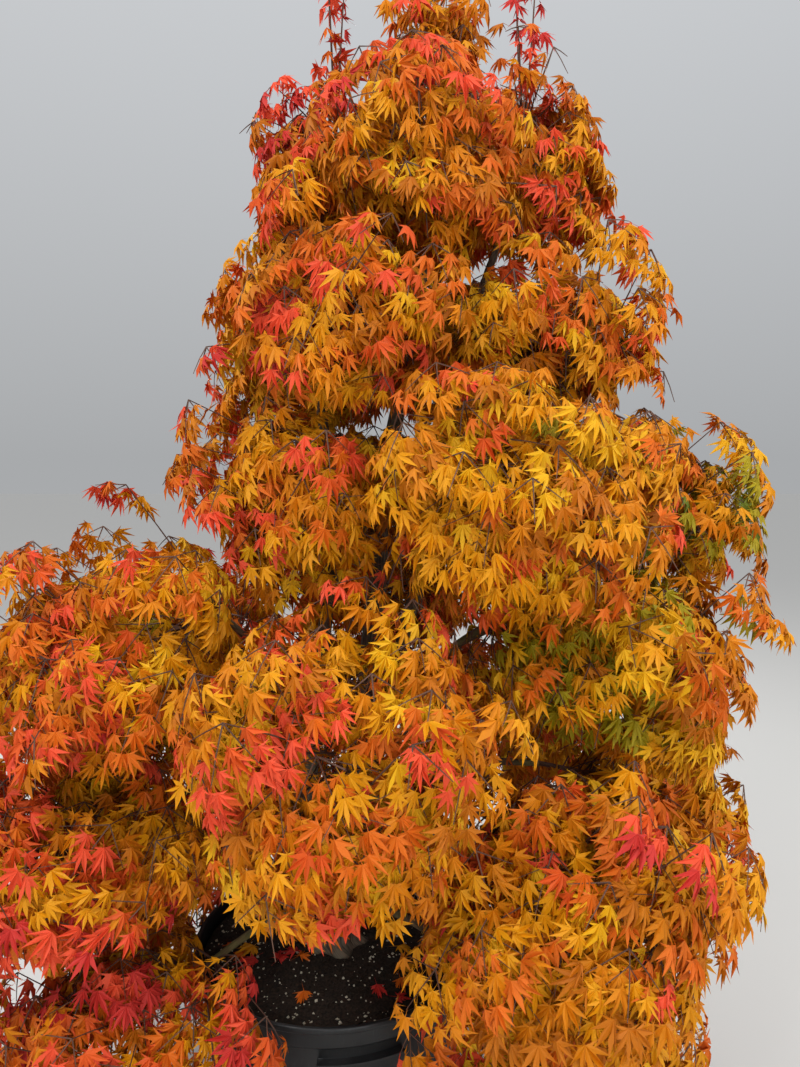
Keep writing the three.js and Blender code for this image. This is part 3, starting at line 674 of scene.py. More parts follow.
def leader_for(mass):
    z = mass.root_height
    within = [w for w in leaders if w.points[0, 2] < z - 60 and w.points[-1, 2] > z + 20]
    return max(within, key=lambda w: axis_at_height(w, z) @ mass.out)


def bezier(start, bend, end, count):
    t = np.linspace(0, 1, count)[:, None]
    return (1 - t) ** 2 * start + 2 * t * (1 - t) * bend + t**2 * end


def arch(start, end, lift, count):
    """A bend whose middle is pulled aside by a vector."""
    return bezier(start, (start + end) / 2 + lift, end, count)


def bough_for(mass, leader):
    start = axis_at_height(leader, mass.root_height)
    flat = (mass.centre - start) * (1, 1, 0)
    entry = min(mass.tier.reach, norm(flat)) * BOUGH_ENTRY
    end = mass.centre - flat / norm(flat) * entry + UP * mass.radii[2] * BOUGH_RISE
    span = norm(end - start)
    points = arch(start, end, UP * span * BOUGH_ARCH, 5)
    return SimpleNamespace(points=points, radii=np.linspace(5 + BOUGH_TAPER * span, BOUGH_TIP, 5))


boughs = {}
for mass in masses:
    below = [left, main, right][mass.place] if mass.whips else None
    if mass.tier.name in ("skirt", "low", "shelf", "middle"):
        leader = trunk if mass.tier.name == "skirt" else leader_for(mass)
        below = boughs[f"bough_{mass.name}"] = bough_for(mass, leader)
    # A stem sits a little into the tip below it, or starts right on its leader.
    mass.sunk = 6 if below else 0
    mass.root = (
        below.points[-1] if below else axis_at_height(leader_for(mass), mass.root_height)
    )
for i, (name, wood) in enumerate(boughs.items()):
    limb_piece(name, wood, 16, 0.45, 0.5, 20.0 + i, YOUNG_BARK)

# %% [markdown]
# ## The rule that grows a mass
# One stem runs through each mass. Twigs leave it in even directions, and each ends in a spray
# that lies on the mass like a shingle, facing out and up with its tip hanging. A spray that would
# leave its space, or touch a limb or an older spray, is tried smaller and then skipped. The
# random numbers are seeded, so the crown grows the same each time.


# %% Seeded numbers and clearances
def seeded_numbers(state):
    while True:
        state = (state * 48271) % 2147483647
        yield state / 2147483647


def stretch_distance(p, q, r, s):
    """Shortest distance between straight stretches p-q and r-s, which broadcast."""
    u, v, w = q - p, s - r, p - r
    a, b, c = (u * u).sum(-1), (u * v).sum(-1), (v * v).sum(-1)
    d, e = (u * w).sum(-1), (v * w).sum(-1)
    spread = a * c - b * b
    safe = np.where(spread > 1e-9, spread, 1)
    along = np.where(spread > 1e-9, np.clip((b * e - c * d) / safe, 0, 1), 0)
    other = np.clip((b * along + e) / c, 0, 1)
    along = np.clip((b * other - d) / a, 0, 1)
    gap = w + u * along[..., None] - v * other[..., None]
    return norm(gap, axis=-1)


def clear_of(rows, starts, ends, room):
    """Which stretches keep further than some room from all stretches in the rows?"""
    gaps = stretch_distance(starts[:, None], ends[:, None], rows[None, :, 0], rows[None, :, 1])
    return (gaps > room).all(axis=1)


woods = [trunk, *leaders, *boughs.values()]
limb_rows = np.vstack([np.stack([w.points[:-1], w.points[1:]], axis=1) for w in woods])
limb_radii = np.concatenate([np.maximum(w.radii[:-1], w.radii[1:]) for w in woods])


def clear_of_limbs(starts, ends, room):
    return clear_of(limb_rows, starts, ends, limb_radii + room)


def clear_of_pot(points, room):
    apart = np.hypot(points[..., 0], points[..., 1]) > RIM_RADIUS + room
    return apart | (points[..., 2] > POT_HEIGHT + room)


# %% The frame and outline of a spray
LOBES = [(0, 0.62, 1), (50, 0.57, 1), (106, 0.4, 0.7)]
NOTCHES = [(25, 0.45, 0.5), (78, 0.38, 0.5)]
HALF_OUTLINE = [LOBES[0], NOTCHES[0], LOBES[1], NOTCHES[1], LOBES[2]]
SPRAY_FOOT = (180, 0.1, 0.1)
DROOP, TWIG_SEAT = 0.13, 0.38


def spray_frame(centre, normal, tipward, length):
    tip = unit(tipward - normal * (tipward @ normal))
    side = np.cross(normal, tip)
    return SimpleNamespace(centre=centre, normal=normal, tip=tip, side=side, length=length)


def spray_point(spray, mark, sign=1):
    angle, reach, drop = radians(mark[0]) * sign, mark[1], mark[2]
    flat = spray.tip * cos(angle) + spray.side * sin(angle)
    return spray.centre + spray.length * (reach * flat - DROOP * drop * spray.normal)


def spray_outline(spray):
    marks = [(mark, 1) for mark in [*HALF_OUTLINE, SPRAY_FOOT]]
    marks += [(mark, -1) for mark in HALF_OUTLINE[:0:-1]]
    return np.array([spray_point(spray, *mark) for mark in marks])


def spray_seat(outline, centre, start):
    seats = (outline + np.roll(outline, -1, axis=0)) * TWIG_SEAT / 2 + centre * (1 - TWIG_SEAT)
    return seats[norm(seats - start, axis=1).argmin()]


# %% Does a spray fit, and the twig that carries it?
POT_ROOM, SPRAY_LIMB_ROOM, SPRAY_ROOM, TWIG_LIMB_ROOM, TWIG_ROOM = 26, 12, 6, 7, 9


def spray_fits(mass, spray, outline, grown):
    middle, between = spray.centre[None], (outline + np.roll(outline, -1, axis=0)) / 2
    steps = middle + np.array([0.35, 0.7, 1])[:, None, None] * (outline - middle)
    return (
        mass.contains(np.vstack([middle, outline])).all()
        and clear_of_pot(steps, POT_ROOM).all()
        and clear_of_limbs(middle, np.vstack([outline, between]), SPRAY_LIMB_ROOM).all()
        and clear_of(np.array(grown), middle, outline, SPRAY_ROOM).all()
    )


def twig_fits(mass, start, seat, blades):
    start, seat, blades = start[None], seat[None], np.reshape(blades, (-1, 2, 3))
    return (
        mass.contains(seat).all()
        and clear_of_pot(seat, POT_ROOM).all()
        and clear_of_limbs(start, seat, TWIG_LIMB_ROOM).all()
        and clear_of(blades, start, seat, TWIG_ROOM).all()
    )


# %% Stems, and the place of each spray
STEM_REACH, STEM_DROP, STEM_CREST, TWIG_RAKE = 0.45, 0.2, 0.12, 0.42
FACES_UP, TIP_OUT, TIP_DOWN = 0.55, 0.35, 0.7


def stem_line(mass):
    if mass.whips:
        return bezier(mass.root, mass.centre, mass.centre + UP * mass.radii[2] * STEM_REACH, 4)
    end = mass.centre + mass.out * mass.tier.reach * STEM_REACH - UP * mass.radii[2] * STEM_DROP
    return bezier(mass.root, mass.centre + UP * mass.radii[2] * STEM_CREST, end, 4)


def point_on(points, t):
    place = min(max(t, 0), 1) * (len(points) - 1)
    i = min(int(place), len(points) - 2)
    return points[i] + (points[i + 1] - points[i]) * (place - i)


def spread_direction(mass, i, count, turn):
    """One of many even directions, on a spiral round a globe, stretched like the mass."""
    z = 1 - 2 * (i + 0.5) / count
    ring = sqrt(1 - z * z)
    angle = turn + i * pi * (3 - sqrt(5))
    return unit(np.array([ring * cos(angle), ring * sin(angle), z]) * mass.radii)


def turned_about(vector, axis, angle):
    cosine, sine = cos(angle), sin(angle)
    return vector * cosine + np.cross(axis, vector) * sine + axis * (axis @ vector) * (1 - cosine)


def spray_at(mass, direction, way, twist, length):
    """A spray that faces out and up, its tip hanging outwards."""
    centre = direction * way + mass.centre
    normal = unit(direction * (0.8, 0.8, 0.35) + UP * FACES_UP)
    tipward = direction * (1, 1, 0) + mass.out * TIP_OUT - UP * TIP_DOWN
    return spray_frame(centre, normal, turned_about(tipward, normal, twist), length)


def twig_start(stem, target):
    """The place on a stem where a twig to the target leaves, raked forward."""
    chord = stem[-1] - stem[0]
    length = norm(chord)
    arm = target - stem[0]
    forward = arm @ chord / length
    aside = sqrt(max(arm @ arm - forward**2, 0))
    return point_on(stem, (forward - TWIG_RAKE * aside) / length)


# %% Grow the sprays of every mass
SPRAY_DIRECTIONS = 12
SPRAY_TRIES = [(1, 1), (1.1, 0.82), (0.9, 1), (1, 0.82), (0.8, 0.9), (1, 0.68), (0.8, 0.7)]
SPRAY_WAY, SPRAY_WANDER, SPRAY_TWIST, SPRAY_LENGTH, SPRAY_GROWTH = 0.62, 0.12, 0.8, 0.98, 0.16


def grow_sprays(mass):
    """Try each direction in turn, and keep the first size and place of its spray that fits."""
    draw = mass.draw = partial(next, seeded_numbers(mass.seed))
    mass.stem = stem_line(mass)
    twigs = list(zip(mass.stem, mass.stem[1:]))
    blades, sprays = [], []
    turn = draw() * 2 * pi
    for i in range(SPRAY_DIRECTIONS):
        direction = spread_direction(mass, i, SPRAY_DIRECTIONS, turn)
        way = SPRAY_WAY * mass.way_out(direction)
        wander = 0.94 + SPRAY_WANDER * draw()
        twist = SPRAY_TWIST * (draw() - 0.5)
        length = SPRAY_LENGTH * mass.tier.reach * (0.92 + SPRAY_GROWTH * draw())
        for shell, size in SPRAY_TRIES:
            spray = spray_at(mass, direction, way * wander * shell, twist, length * size)
            outline = spray_outline(spray)
            start = twig_start(mass.stem, spray.centre)
            seat = spray_seat(outline, spray.centre, start)
            free = spray_fits(mass, spray, outline, blades + twigs)
            if free and twig_fits(mass, start, seat, blades):
                spray.start, spray.seat = start, seat
                twigs.append((start, seat))
                blades.extend((spray.centre, corner) for corner in outline)
                sprays.append(spray)
                break
    return sprays


for mass in masses:
    mass.sprays = grow_sprays(mass)
print("sprays in each mass", [len(mass.sprays) for mass in masses])

# %% [markdown]
# ## From sprays to twigs
# The solid's big lobed leaf stands for a spray, and here the spray is grown: a twig runs into it
# from the stem, and a twiglet runs out along each of its five lobes. Twiglets carry side shoots,
# and leaves sit on them in opposite pairs, as on every maple.

# %% Twiglets of one spray
LEAF_LENGTH, STALK, NODE_STEP, SIDE_SHOOT, SIDE_GROWTH = 41, 19, 27, 42, 34
SHORTEST, BENT_TWICE, BRANCHED, TWIGLET_ARCH, TIP_SHORT, TIP_SINK = 20, 110, 90, 0.05, 0.12, 0.02
tube_rows, shoots = [], []


def add_tube(points, radii):
    """A bent tube as a run of straight stretches from one point to the next."""
    for a, b, r, s in zip(points, points[1:], radii, radii[1:]):
        tube_rows.append((*a, *b, r, s))


def way_at(line, t):
    return unit(point_on(line, min(t + 0.1, 1)) - point_on(line, t - 0.1))


def grow_twiglet(mass, spray, start, end, shade):
    """A twiglet from start to end, with the places where its leaf pairs and shoots stand."""
    span = norm(end - start)
    if span < SHORTEST:
        return
    stretches = 4 if span > BENT_TWICE else 3
    line = arch(start, end, spray.normal * TWIGLET_ARCH * span, stretches)
    add_tube(line, np.linspace(1.4, 0.7, stretches))
    count = max(1, round(span / NODE_STEP))
    for k in range(count):
        t = (k + 0.75) / count
        node, along = point_on(line, t), way_at(line, t)
        shoots.append((mass, spray, node, along, t > 1 - 0.6 / count, shade))
        if k % 2 == 0 and 0.2 < t < 0.8 and span > BRANCHED:
            across = np.cross(spray.normal, along)
            for sign in (-1, 1):
                length = SIDE_SHOOT + SIDE_GROWTH * mass.draw()
                lift = spray.normal * (mass.draw() - 0.6) * 0.5
                tip = node + length * unit(along * 0.8 + sign * across + lift)
                if mass.contains(tip, 1.0, 4).all():
                    side_along = unit(tip - node)
                    add_tube([node, tip], [0.9, 0.6])
                    shoots.append((mass, spray, (node + tip) / 2, side_along, False, shade))
                    shoots.append((mass, spray, tip, side_along, True, shade))


def grow_spray(mass, spray, lobes):
    for angle, reach, drop in lobes:
        for sign in (1, -1) if angle else (1,):
            shade = mass.draw()
            tip = spray_point(spray, (angle, max(reach - TIP_SHORT, 0.2), drop), sign)
            tip = tip - spray.normal * spray.length * TIP_SINK
            grow_twiglet(mass, spray, spray.centre, tip, shade)


for mass in masses:
    foot = mass.stem[0] - unit(mass.stem[1] - mass.stem[0]) * mass.sunk
    stem = [point_on(mass.stem, t) for t in np.linspace(0.16, 1, 6)]
    add_tube([foot, *stem], np.linspace(5.6, 3.4, 7))
    for spray in mass.sprays:
        twig = arch(spray.start, spray.seat, UP * 6, 4)
        add_tube([*twig, spray.centre], [2.4, 2.1, 1.9, 1.7, 1.4])
        grow_spray(mass, spray, LOBES)
print(len(tube_rows), "stretches of twig,", len(shoots), "places for leaf pairs")

# %% [markdown]
# ## Finer sprays
# Between the big sprays smaller ones fill the mass, each tilted and turned its own way. How far
# out they stand follows slow noise that runs on through all masses, so that the crown reads as
# one ragged whole. Towards the middle of the crown they also fill the corners that the round
# drums leave, up to the planes, so that little sky shows through. About half of those that face
# the shaded middle are left out.

# %% Smaller sprays between them
FILL_LOBES = [(0, 0.62, 1), (58, 0.52, 1)]
FILL_COUNTS, FILL_COUNT = {"skirt": 82, "low": 84}, 104
INNER_SWELL, INNER_FACING = 1.3, 0.1
FILL_WAY, FILL_NOISE, FILL_WANDER, FILL_NEAREST, FILL_FURTHEST = 0.72, 0.55, 0.26, 0.4, 0.93
FILL_LENGTH, FILL_GROWTH, SHADED, SHADED_SKIPPED = 0.36, 0.2, -0.25, 0.55
FILL_SWELL_SIZE, FILL_POT_ROOM, FILL_LIMB_ROOM, FILL_SLACK = 150, 14, 6, 2


def tilted(spray, lean, roll):
    """The same spray nodded about its side and rolled about its tip, in radians."""
    tip = turned_about(spray.tip, spray.side, lean)
    normal = turned_about(turned_about(spray.normal, spray.side, lean), tip, roll)
    return spray_frame(spray.centre, normal, tip, spray.length)


def fill_fits(mass, spray, swell):
    ends = np.array([spray_point(spray, mark, k) for mark in FILL_LOBES for k in (1, -1)])
    return (
        mass.contains((ends + spray.centre) / 2, swell, FILL_SLACK).all()
        and clear_of_pot(ends, FILL_POT_ROOM).all()
        and (ends > box_low).all()
        and (ends < box_high).all()
        and clear_of_limbs(spray.centre[None], spray.centre[None] + 0.1, FILL_LIMB_ROOM).all()
    )


def grow_fill(mass):
    draw, turn = mass.draw, mass.draw() * 2 * pi
    facing = unit(mass.out * (0 if mass.tier.name in ("high", "top") else 1) + UP * 0.7)
    made, count = 0, FILL_COUNTS.get(mass.tier.name, FILL_COUNT)
    for i in range(count):
        direction = spread_direction(mass, i, count, turn)
        swell = INNER_SWELL if direction @ mass.out < INNER_FACING else 1.0
        way = mass.way_out(direction, swell)
        ragged = FILL_NOISE * lumps(mass.centre + direction * way, FILL_SWELL_SIZE)
        shell = min(FILL_WAY + ragged + FILL_WANDER * (draw() - 0.5), FILL_FURTHEST)
        twist, lean, roll = 1.5 * (draw() - 0.5), 0.9 * (draw() - 0.4), 0.9 * (draw() - 0.5)
        length = mass.tier.reach * (FILL_LENGTH + FILL_GROWTH * draw())
        if direction @ facing < SHADED and draw() < SHADED_SKIPPED:
            continue
        spray = spray_at(mass, direction, way * max(shell, FILL_NEAREST), twist, length)
        spray = tilted(spray, lean, roll)
        if fill_fits(mass, spray, swell):
            start = twig_start(mass.stem, spray.centre)
            add_tube(arch(start, spray.centre, UP * 9, 4), [1.7, 1.6, 1.3, 1.1])
            grow_spray(mass, spray, FILL_LOBES)
            made += 1
    return made


print("filling sprays", [grow_fill(mass) for mass in masses])

# %% Whips above the crown
WHIP_LEAN, WHIP_BEND, WHIP_NODE = 20, 16, 40


def grow_whips(mass):
    draw, foot = mass.draw, point_on(mass.stem, 0.95)
    for lean, height in zip((-WHIP_LEAN, WHIP_LEAN), mass.whips):
        head = np.array([mass.centre[0] + lean, mass.centre[1] - lean / 2, height - 30])
        bend = (draw() * WHIP_BEND - WHIP_BEND / 2, draw() * WHIP_BEND - WHIP_BEND / 2, 0)
        line = arch(foot, head, bend, 7)
        add_tube(line, np.linspace(3, 1.1, 7))
        spray = spray_frame(head, UP, np.array([1.0, 0, 0]), 100)
        count, shade = int(norm(head - foot) / WHIP_NODE), draw()
        for k in range(1, count + 1):
            t = k / count
            shoots.append((mass, spray, point_on(line, t), way_at(line, t), k == count, shade))


for mass in masses:
    if mass.whips:
        grow_whips(mass)
print(len(tube_rows), "stretches,", len(shoots), "places")


# %% Twigs as one joined array of thin tubes
def tubes(rows, sides):
    """Every stretch is a prism with a few sides; the stout ones are closed at the far end."""
    start, end, radii = rows[:, 0:3], rows[:, 3:6], rows[:, 6:8]
    along = unit(end - start)
    helper = np.where(np.abs(along[:, 2:3]) > 0.9, [[1.0, 0, 0]], [[0, 0, 1.0]])
    side = unit(np.cross(helper, along))
    angles = (np.arange(sides) * 2 * pi / sides)[None, :, None]
    ring = side[:, None] * np.cos(angles) + np.cross(along, side)[:, None] * np.sin(angles)
    near = start[:, None] + ring * radii[:, None, 0:1]
    far = end[:, None] + ring * radii[:, None, 1:2]
    tip = (end + along * radii[:, 1:2])[:, None]
    vertices = np.concatenate([near, far, tip], axis=1).reshape(-1, 3)
    k = np.arange(sides)
    n = (k + 1) % sides
    faces = [np.column_stack([k, n, n + sides]), np.column_stack([k, n + sides, k + sides])]
    if sides > 3:
        faces.append(np.column_stack([k + sides, n + sides, np.full(sides, 2 * sides)]))
    offsets = np.arange(len(rows)) * (2 * sides + 1)
    return vertices * MM, (np.vstack(faces)[None] + offsets[:, None, None]).reshape(-1, 3)


TWIG_BARK = two_tone("maple_bark_twigs", "#40302a", "#6d4732", 90, IOR=1.45, Roughness=0.7)
STOUT = 1.45
foliage_nodes = [f"foliage_{mass.name}" for mass in masses]
tube_rows = np.array(tube_rows)
stout = tube_rows[:, 6] > STOUT
for name, rows, sides in (("stems_and_twigs", stout, 5), ("twiglets", ~stout, 3)):
    mesh_piece(name, *tubes(tube_rows[rows], sides), TWIG_BARK, "bark", foliage_nodes)

# %% [markdown]
# ## One maple leaf
# The leaf has seven narrow, pointed lobes that spread from the end of its stalk, cut more than
# half-way in. Its outline follows from the angle and length of each lobe. The three long lobes
# fold along their midribs, so light catches the halves apart. The whole leaf curls down and half
# closes, like a hanging hand. It has 18 faces; in the shaded inside a plainer one of 12 does.

# %% The leaf's outline as points and faces
LEAF_LOBES = [(-104, 0.46), (-62, 0.8), (-29, 0.95), (0, 1.0), (29, 0.95), (62, 0.8), (104, 0.46)]
LONG_LOBE, LOBE_WIDEST, FOLD_LIFT, NOTCH_LIFT = 0.9, 0.54, 0.035, 0.02
NOTCH_DEEP, NOTCH_SHALLOW = 0.3, 0.42


def leaf_template(detailed):
    """Rows of (x, y, lift, distance) and a fan of faces. x is towards the tip, the stalk at 0."""
    outline = []
    for (angle, length), (next_angle, next_length) in zip(LEAF_LOBES, LEAF_LOBES[1:] + [(0, 0)]):
        folded, width = detailed and length > LONG_LOBE, 0.052 + 0.046 * length
        lower, upper = ((angle, LOBE_WIDEST * length, w, FOLD_LIFT) for w in (-width, width))
        outline += [lower, (angle, length, 0, 0), upper] if folded else [(angle, length, 0, 0)]
        depth = NOTCH_DEEP if folded and next_length > LONG_LOBE else NOTCH_SHALLOW
        distance = depth * min(length, next_length) + 0.03
        outline.append(((angle + next_angle) / 2, distance, 0, NOTCH_LIFT))
    points = [(0, 0, 0, 0)]
    for angle, distance, aside, lift in outline[:-1]:
        spot = complex(distance, aside) * complex(cos(radians(angle)), sin(radians(angle)))
        points.append((spot.real, spot.imag, lift, abs(spot)))
    return np.array(points), np.array([(0, k, k + 1) for k in range(1, len(points) - 1)])


FULL_LEAF, PLAIN_LEAF = leaf_template(True), leaf_template(False)
print("leaf faces", len(FULL_LEAF[1]), len(PLAIN_LEAF[1]))

# %% [markdown]
# ## Autumn tints
# Most of the tree is golden and amber. Outer shoots, the low left and the top have gone on to
# orange, shoot ends to coral, and one bough on the right is still partly yellow-green. Each leaf
# has one plain base colour, much the same along a twiglet. A score of warmth deals them out, by
# how far out a leaf stands, its side of the tree, slow noise and a draw for each twiglet.

# %% Ten shades of leaf
TINTS = {
    "green": ("#626d18", "leaf_green"), "yellow_green": ("#9f8c0e", "leaf_green"),
    "pale_gold": ("#dba30c", "leaf_gold"), "gold": ("#d48d02", "leaf_gold"),
    "amber": ("#cc7902", "leaf_amber"), "deep_amber": ("#b66503", "leaf_amber"),
    "orange": ("#cf6410", "leaf_orange"), "burnt_orange": ("#d05218", "leaf_orange"),
    "coral": ("#dc4d2c", "leaf_coral"), "crimson": ("#bf3028", "leaf_coral"),
}
LEAF_MATERIALS = {
    name: new_material(f"maple_leaf_{name}", Base_Color=linear(code), Roughness=0.6, IOR=1.33)[0]
    for name, (code, _) in TINTS.items()
}
WARMTH_STEPS = np.array([-0.45, -0.14, 0.13, 0.35, 0.5, 0.575, 0.7, 0.77, 0.94])
WARMTH, BY_OUTER, BY_LEFT, BY_NOISE, BY_DRAW, AT_END = 0.36, 0.3, 0.12, 0.24, 0.72, 0.12
TIER_WARMTH = {"skirt": 0.04, "low": 0.02, "middle": -0.04, "high": 0.03, "top": 0.08}
GREEN_MASSES = {"middle_2": 0.3, "shelf_3": 0.24, "middle_3": 0.1}


def warmth_of(mass, place, shade):
    """From cool, below 0, to warm, above 1."""
    outer = norm((place - mass.centre) / mass.radii) - 0.7
    left = (150 - place[0]) / 900
    score = WARMTH + TIER_WARMTH.get(mass.tier.name, 0) + BY_OUTER * outer + BY_LEFT * left
    score += BY_NOISE * lumps(place, 260) + BY_DRAW * (shade - 0.5)
    if mass.name in GREEN_MASSES and lumps(place + 500, 170) > -0.05:
        score -= GREEN_MASSES[mass.name] * (1.5 if shade < 0.45 else 0.6)
    return score


# %% Place the leaves in opposite pairs
rng = default_rng(2024)


def pair_rows(shoot):
    """Two leaves at a node, or three at a twiglet's end: stalk root, stalk way, tip way,
    normal, tint and mass."""
    mass, spray, node, along, terminal, shade = shoot
    across = unit(np.cross(spray.normal, along))
    ways = [along * 0.75 + across, along * 0.75 - across] + ([along * 1.2] if terminal else [])
    warmth = warmth_of(mass, node, shade) + AT_END * terminal + rng.normal(0, 0.035)
    tint = int(np.searchsorted(WARMTH_STEPS, warmth))
    outward = unit((node - mass.centre) * (1, 1, 0.2) + mass.out * 20)
    rows = []
    for way in ways:
        way = unit(way + spray.normal * 0.12 + rng.normal(0, 0.22, 3))
        tip = way * 0.7 + outward * 0.3 - UP * rng.uniform(0.5, 1.5) + rng.normal(0, 0.18, 3)
        normal = spray.normal * 0.7 + outward * 0.5 + UP * 0.3 + rng.normal(0, 0.28, 3)
        rows.append((*node, *way, *unit(tip), *normal, tint, masses.index(mass)))
    return rows


leaf_rows = np.array([row for shoot in shoots for row in pair_rows(shoot)])
print(len(leaf_rows), "leaves to place")

# %% [markdown]
# ## Which leaves stay
# A leaf stays when it keeps to its mass's space and to the box of the solids, off the pot and
# the limbs. The shaded inside of a crown drops its leaves first, so there half of them go.

# %% Keep those that stay in their space
LEAF_SCALES, LEAF_SCALE, INSIDE_DROPPED = {"skirt": 1.0, "low": 0.97}, 0.9, 0.5
LEAF_POT_ROOM, LEAF_LIMB_ROOM, TIP_SLACK, BASE_SLACK = 8, 2, 12, 8


def leaf_frames(root, base, tip, normal, size):
    """Arrays of leaves: the stalk's two ends, the leaf's own three axes, and its length."""
    normal = unit(normal - tip * (normal * tip).sum(1, keepdims=True))
    side = np.cross(normal, tip)
    return SimpleNamespace(root=root, base=base, tip=tip, normal=normal, side=side, size=size)


root, way, tip, normal = (leaf_rows[:, i : i + 3] for i in (0, 3, 6, 9))
tints, owners = leaf_rows[:, 12].astype(int), leaf_rows[:, 13].astype(int)
scale = np.array([LEAF_SCALES.get(mass.tier.name, LEAF_SCALE) for mass in masses])[owners]
centres, drums, outs = (
    np.array([getattr(mass, part) for mass in masses])[owners]
    for part in ("centre", "radii", "out")
)
size = LEAF_LENGTH * scale * rng.uniform(0.78, 1.2, len(leaf_rows))
base = root + way * (STALK * rng.uniform(0.7, 1.3, len(leaf_rows)))[:, None]
leaves = leaf_frames(root, base, tip, normal, size)
reach = base + tip * size[:, None]
keep = clear_of_pot(reach, LEAF_POT_ROOM) & clear_of_pot(base, LEAF_POT_ROOM)
keep &= clear_of_limbs(base, reach, LEAF_LIMB_ROOM)
arm = (base - centres) / drums
facing = (arm * outs).sum(1)
inside = (facing + 0.6 * arm[:, 2] < SHADED) | (norm(arm, axis=1) < 0.4)
keep &= ~inside | (rng.random(len(keep)) > INSIDE_DROPPED)
swell = np.where(facing < INNER_FACING, INNER_SWELL, 1.0)
for i, mass in enumerate(masses):
    mine = owners == i
    keep[mine] &= mass.contains(reach[mine], swell[mine] + 0.05, TIP_SLACK)
    keep[mine] &= mass.contains(base[mine], swell[mine], BASE_SLACK)
print("kept", int(keep.sum()), "of", len(keep), "inside", int((keep & inside).sum()))

# %% Build the leaves of each shade as one joined mesh
STALK_THICK, PIECE_LIMIT, CURL, HANG, TWIST = 0.55, 8000, 0.42, 0.85, 0.09


def leaf_mesh(leaves, chosen, template, seed, hang=HANG):
    """Vertices and faces of many leaves: a template laid in each leaf's own frame."""
    points, faces = template
    x, y, lift, distance = points.T[:, None]
    curls, closing = (
        default_rng(seed + k).uniform(0.1, most, (len(chosen), 1))
        for k, most in ((0, CURL), (2, hang))
    )
    twists = default_rng(seed + 1).normal(0, TWIST, (len(chosen), len(points)))
    lift = lift - curls * distance**2 + twists * distance - np.abs(y) * np.sin(closing)
    root, base, tip, side, normal = (
        getattr(leaves, part)[chosen, None] for part in ("root", "base", "tip", "side", "normal")
    )
    aside = (y * np.cos(closing))[..., None] * side
    blade = x[..., None] * tip + aside + lift[..., None] * normal
    spots = base + leaves.size[chosen, None, None] * blade
    thick = [side * STALK_THICK, -side * STALK_THICK, normal * STALK_THICK, -normal * STALK_THICK]
    vertices = np.concatenate([spots, root, *(base + edge for edge in thick)], axis=1)
    first = len(points)
    faces = np.vstack([faces, [(first, first + 1, first + 2), (first, first + 3, first + 4)]])
    offsets = np.arange(len(chosen)) * vertices.shape[1]
    return vertices.reshape(-1, 3) * MM, (faces[None] + offsets[:, None, None]).reshape(-1, 3)


for number, (name, (_, slot)) in enumerate(TINTS.items()):
    of_shade = np.flatnonzero(keep & (tints == number))
    parts = ceil(len(of_shade) / PIECE_LIMIT)
    for part in range(parts):
        mine = of_shade[part::parts]
        vertices, faces = leaf_mesh(leaves, mine[~inside[mine]], FULL_LEAF, 50 + number)
        more, more_faces = leaf_mesh(leaves, mine[inside[mine]], PLAIN_LEAF, 90 + number)
        faces = np.vstack([faces, more_faces + len(vertices)])
        piece_name = f"leaves_{name}" if parts == 1 else f"leaves_{name}_{part + 1}"
        nodes = sorted({foliage_nodes[i] for i in owners[mine]})
        vertices = np.vstack([vertices, more])
        mesh_piece(piece_name, vertices, faces, LEAF_MATERIALS[name], slot, nodes)

# %% [markdown]
# ## Fallen leaves
# A few leaves have dropped onto the mix. They are the same leaf, laid nearly flat.

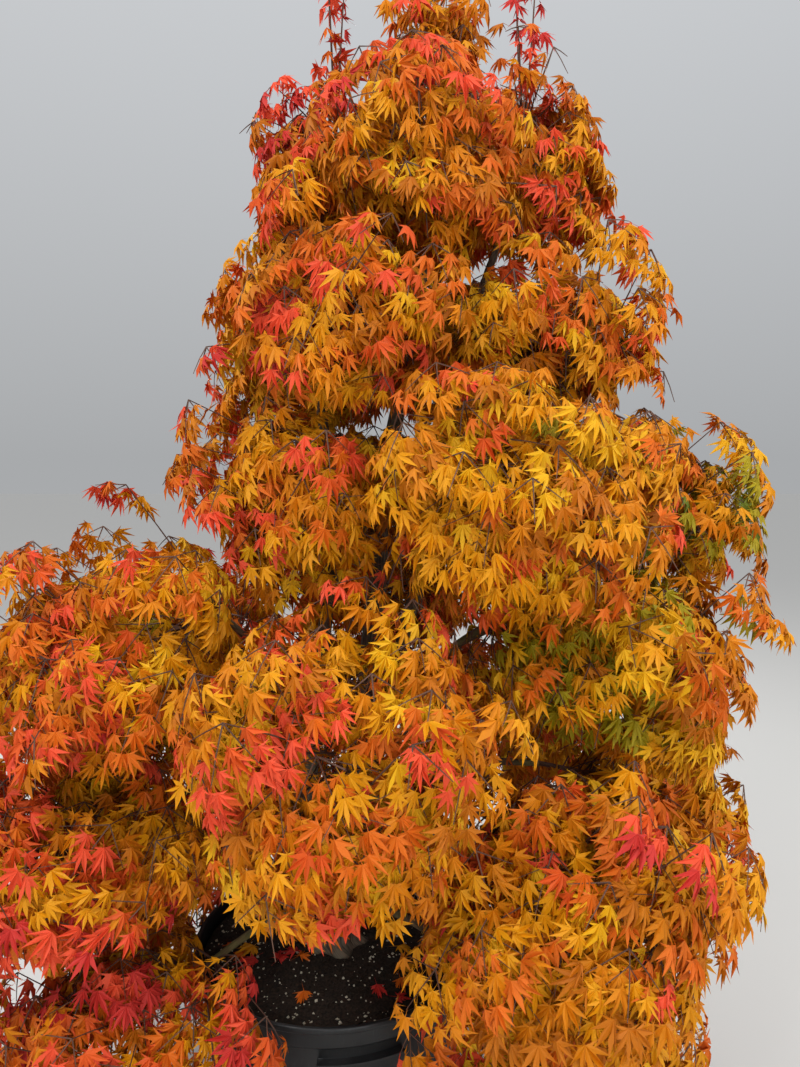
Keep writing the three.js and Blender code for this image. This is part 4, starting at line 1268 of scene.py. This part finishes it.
# %% Leaves on the mix
FALLEN, FALLEN_STALK, FALLEN_HANG = 22, 26, 0.3
rng = default_rng(77)
spots = rng.uniform(-225, 225, (60, 2))
distance = np.hypot(spots[:, 0], spots[:, 1])
spots = spots[(distance < 240) & (distance > 90)][:FALLEN]
base = np.array([(x, y, mix_level(x * MM, y * MM) + 7) for x, y in spots])
turns = rng.uniform(0, 2 * pi, len(spots))
tip = unit(np.column_stack([np.cos(turns), np.sin(turns), rng.normal(0, 0.12, len(spots))]))
normal = unit(np.column_stack([rng.normal(0, 0.2, (len(spots), 2)), np.ones(len(spots))]))
size = rng.uniform(34, 52, len(spots))
fallen = leaf_frames(base - tip * FALLEN_STALK, base, tip, normal, size)
for name, first, end in (("crimson", 0, 8), ("orange", 8, 15), ("gold", 15, len(spots))):
    shape = leaf_mesh(fallen, np.arange(first, end), FULL_LEAF, 7, FALLEN_HANG)
    mesh_piece(f"fallen_leaves_{name}", *shape, LEAF_MATERIALS[name], TINTS[name][1])

# %% [markdown]
# ## Floor and light
# A plain pale floor and soft light from large panels leave the colours the plant's own. The sky
# brightens from the horizon up, as under a white roof, so the crown's undersides stay in shade.
# Its horizon is as bright as the far floor, so the two run into each other.

# %% Pale floor
bpy.ops.mesh.primitive_plane_add(size=60, location=(0, 0, 0))
floor = bpy.context.object
floor.name = "pale_floor"
PALE_FLOOR = new_material("pale_matt_floor", Base_Color=linear("#c9c7c3"), Roughness=0.9)[0]
floor.data.materials.append(PALE_FLOOR)

# %% Soft panels and a sky that brightens upwards
PANELS = [
    ("panel_front_left", (-1.9, -2.8, 5.0), 1.2, 2.2, 142),
    ("panel_front_low", (1.2, -4.6, 1.8), 1.0, 2.6, 46),
    ("panel_right", (3.6, -1.8, 3.4), 1.2, 2.4, 78),
    ("panel_back", (-1.0, 3.8, 4.0), 1.4, 2.4, 120),
]
for name, place, aim, across, watts in PANELS:
    data = bpy.data.lights.new(name, "AREA")
    data.shape, data.size, data.energy = "DISK", across, watts
    panel = bpy.data.objects.new(name, data)
    panel.location = place
    way = Vector((0, 0, aim)) - Vector(place)
    panel.rotation_euler = way.to_track_quat("-Z", "Y").to_euler()
    bpy.context.collection.objects.link(panel)
world = bpy.data.worlds.new("white_roof_sky")
world.use_nodes = True
sky_way = add_node(world, "TexCoord").outputs["Generated"]
sky_height = add_node(world, "SeparateXYZ", {}, {"Vector": sky_way}).outputs["Z"]
sky_rise = add_node(world, "MapRange", {}, {"Value": sky_height})
sky_colours = {"data_type": "RGBA", 6: linear("#a8aaac"), 7: linear("#e6e9ed")}
sky_colour = add_node(world, "Mix", sky_colours, {0: sky_rise})
connect(world.node_tree.nodes["Background"], {"Color": sky_colour})
bpy.context.scene.world = world
bpy.context.scene.view_settings.view_transform = "Standard"
